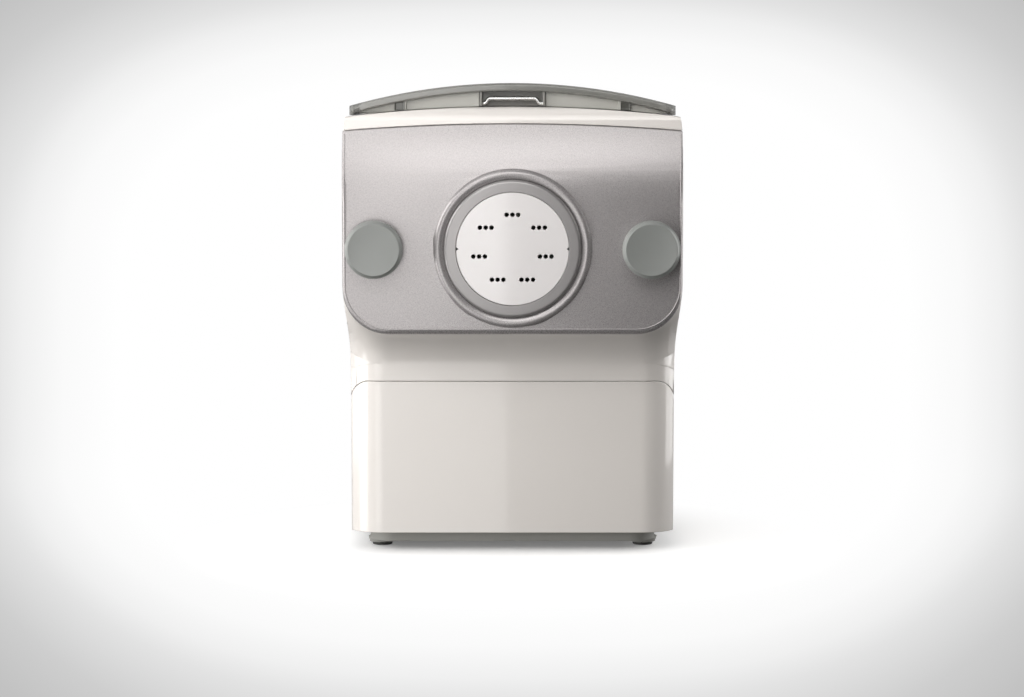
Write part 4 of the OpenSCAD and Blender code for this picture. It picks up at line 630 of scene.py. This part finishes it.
# Edge line of the panel: a hair-fine raised line that runs down both sides and along the lower edge,
# just inside the round. It is swept here along the panel's own outline.
line_in, line_low, line_r, line_lift = 0.0016, 0.0034, 0.00055, 0.00028
path = [(line_in - face_half, z) for z in (0.268, 0.260, 0.250, 0.240, 0.232, 0.226, 0.210, 0.190)]
for a in (math.radians(d) for d in range(0, 91, 6)):
    turn = face_round - line_in - (line_low - line_in) * math.sin(a)
    path.append((face_round - face_half - turn * math.cos(a), face_low + face_round - turn * math.sin(a)))
path += [(-x, z) for x, z in reversed(path)]
hair = bpy.data.curves.new("edge_line", "CURVE")
hair.dimensions = "3D"
hair.bevel_depth = line_r
hair.bevel_resolution = 3
thread = hair.splines.new("POLY")
thread.points.add(len(path) - 1)
for point, (x, z) in zip(thread.points, path):
    point.co = (x, face_y + leant(z) + line_lift, z, 1.0)
swept = bpy.data.objects.new("edge_line", hair)
scene.collection.objects.link(swept)
work = bmesh.new()
work.from_mesh(bpy.data.meshes.new_from_object(swept))
bpy.data.objects.remove(swept)
bmesh.ops.holes_fill(work, edges=work.edges[:], sides=0)
bmesh.ops.recalc_face_normals(work, faces=work.faces[:])
piece("fascia_edge_line", work, lacquer, "panel", "panel_silver")


# Outlet ring: turned and satin lacquered in a darker grey, with a fine bright round at its outer
# edge. It is spun here from its section.
def turned(name, section, x, z, material, body, slot, *stands_for, closed=True):
    """Spins a section of (radius, depth, round) corners about the line along Y through x and z."""
    work = bmesh.new()
    spots = [work.verts.new((x + r, y, z)) for r, y, _ in section]
    ends = spots[1:] + spots[:1] if closed else spots[1:]
    lines = [work.edges.new(pair) for pair in zip(spots, ends)]
    bmesh.ops.spin(work, geom=spots + lines, cent=(x, 0, z), axis=(0, 1, 0), angle=2 * math.pi, steps=144,
                   use_merge=True)
    bmesh.ops.remove_doubles(work, verts=work.verts, dist=1e-6)
    for r, y, ease in section:
        if ease:
            ring = [e for e in work.edges if all(abs(v.co.y - y) < 1e-6 and
                    abs(math.hypot(v.co.x - x, v.co.z - z) - r) < 1e-6 for v in e.verts)]
            bmesh.ops.bevel(work, geom=ring, offset=ease, offset_type="OFFSET", segments=4, profile=0.5,
                            affect="EDGES", clamp_overlap=True, material=-1)
    bmesh.ops.recalc_face_normals(work, faces=work.faces[:])
    piece(name, work, material, body, slot, *stands_for)


ring_grey = finish_of("ring_grey", turning, {
    "Colour": (0.33, 0.315, 0.315), "Deeper": (0.29, 0.28, 0.28), "Centre": (0.0, 0.0, axis_z),
    "Lines": 6000.0, "Smooth": 0.26, "Dull": 0.32}, relief=0.04, depth=0.0001, Metallic=0.45,
    Coat_Weight=0.3, Coat_Roughness=0.12)
bore_r, land_r, rim_r, rim_ease, ring_face, ring_back = 0.0355, 0.0406, 0.043, 0.002, -0.1588, -0.156
spigot_in, spigot_out, spigot_end, lip_back = 0.0378, 0.0419, -0.1516, -0.1557
rim_round = [(rim_r - rim_ease + rim_ease * math.sin(a), ring_face + rim_ease - rim_ease * math.cos(a), 0)
             for a in (math.radians(d) for d in range(0, 91, 10))]
turned("outlet_bezel", [(bore_r, ring_face, 0.0002), (land_r, ring_face, 0)] + rim_round + [
    (rim_r, lip_back, 0), (spigot_out, lip_back + 0.0001, 0), (spigot_out, spigot_end, 0),
    (spigot_in, spigot_end, 0), (spigot_in, ring_back, 0), (bore_r, ring_back, 0)],
    0.0, axis_z, ring_grey, "panel", "ring_grey", "outlet_ring")

# Shaping disc: a hard white plastic, a little duller than the housing, drilled in level rows of
# three. Its face edge and the mouths of the holes are broken. A small dark key sits in each notch.
die_white = finish_of("die_white", moulding, {
    "Colour": (0.765, 0.738, 0.735), "Deeper": (0.745, 0.718, 0.715), "Patch Scale": 30.0,
    "Grain Scale": 1500.0, "Smooth": 0.3, "Dull": 0.38}, relief=0.05, depth=0.0002, Coat_Weight=0.8,
    Coat_IOR=1.6, Coat_Roughness=0.08)
eased("pasta_die", "shaping_disc", 0.0002, die_white, "panel", "die_white", steps=2)
key_x, key_y, key_r, key_deep = 0.03475, -0.15793, 0.00115, 0.00145
for side, name in ((-1, "left_die_key"), (1, "right_die_key")):
    work = bmesh.new()
    bmesh.ops.create_cone(work, cap_ends=True, segments=3, radius1=key_r, radius2=key_r, depth=key_deep)
    bmesh.ops.rotate(work, verts=work.verts[:], matrix=Matrix.Rotation(math.radians(90), 3, "X"))
    bmesh.ops.rotate(work, verts=work.verts[:], matrix=Matrix.Rotation(math.radians(-90 * side), 3, "Y"))
    bmesh.ops.translate(work, vec=(side * key_x, key_y, axis_z), verts=work.verts[:])
    piece(name, work, dark, "panel", "dark_plastic")

# Knobs: grey-green satin plastic caps. Each is spun with a shallow dish, a bevel round it and a thin
# outer edge, on a narrower neck. The lines left by turning the mould show as rings in the dish.
knob_x, cap_r, cap_back, hub_r, hub_back = 0.0862, 0.0180, -0.1630, 0.0135, -0.1553
stem_r, stem_end, post_hole_r, post_hole_end = 0.0080, -0.1398, 0.0064, -0.1620
dish = [(r / 1000, (-170.5 - (r / 16) ** 2) / 1000, 0) for r in (0, 3, 6, 9, 11, 13, 14.5)]
bevel = [(0.0160, -0.1715, 0.0003), (0.0173, -0.1700, 0.0003), (cap_r, -0.1697, 0.0004)]
for side, name in ((-1, "left_knob"), (1, "right_knob")):
    knob_grey = finish_of(name + "_grey", turning, {
        "Colour": (0.25, 0.26, 0.25), "Deeper": (0.228, 0.237, 0.228), "Centre": (side * knob_x, 0.0, axis_z),
        "Lines": 3500.0, "Smooth": 0.3, "Dull": 0.36}, relief=0.08, depth=0.0001, Coat_Weight=0.2,
        Coat_Roughness=0.2)
    turned(name + "_cap", dish + bevel + [
        (cap_r, cap_back, 0.0009), (hub_r, cap_back, 0.0004), (hub_r, hub_back, 0.0002),
        (stem_r, hub_back, 0), (stem_r, stem_end, 0.0002), (post_hole_r, stem_end, 0),
        (post_hole_r, post_hole_end, 0), (0.0, post_hole_end, 0)],
        side * knob_x, axis_z, knob_grey, name, "knob_grey", name, closed=False)
brass = finish_of("bush_brass", turning, {
    "Colour": (0.62, 0.45, 0.18), "Deeper": (0.55, 0.39, 0.15), "Centre": (knob_x, 0.0, axis_z),
    "Lines": 3000.0}, relief=0.1, depth=0.0001, Metallic=1.0)
dress(brass, "left_knob_bush", "right_knob_bush")
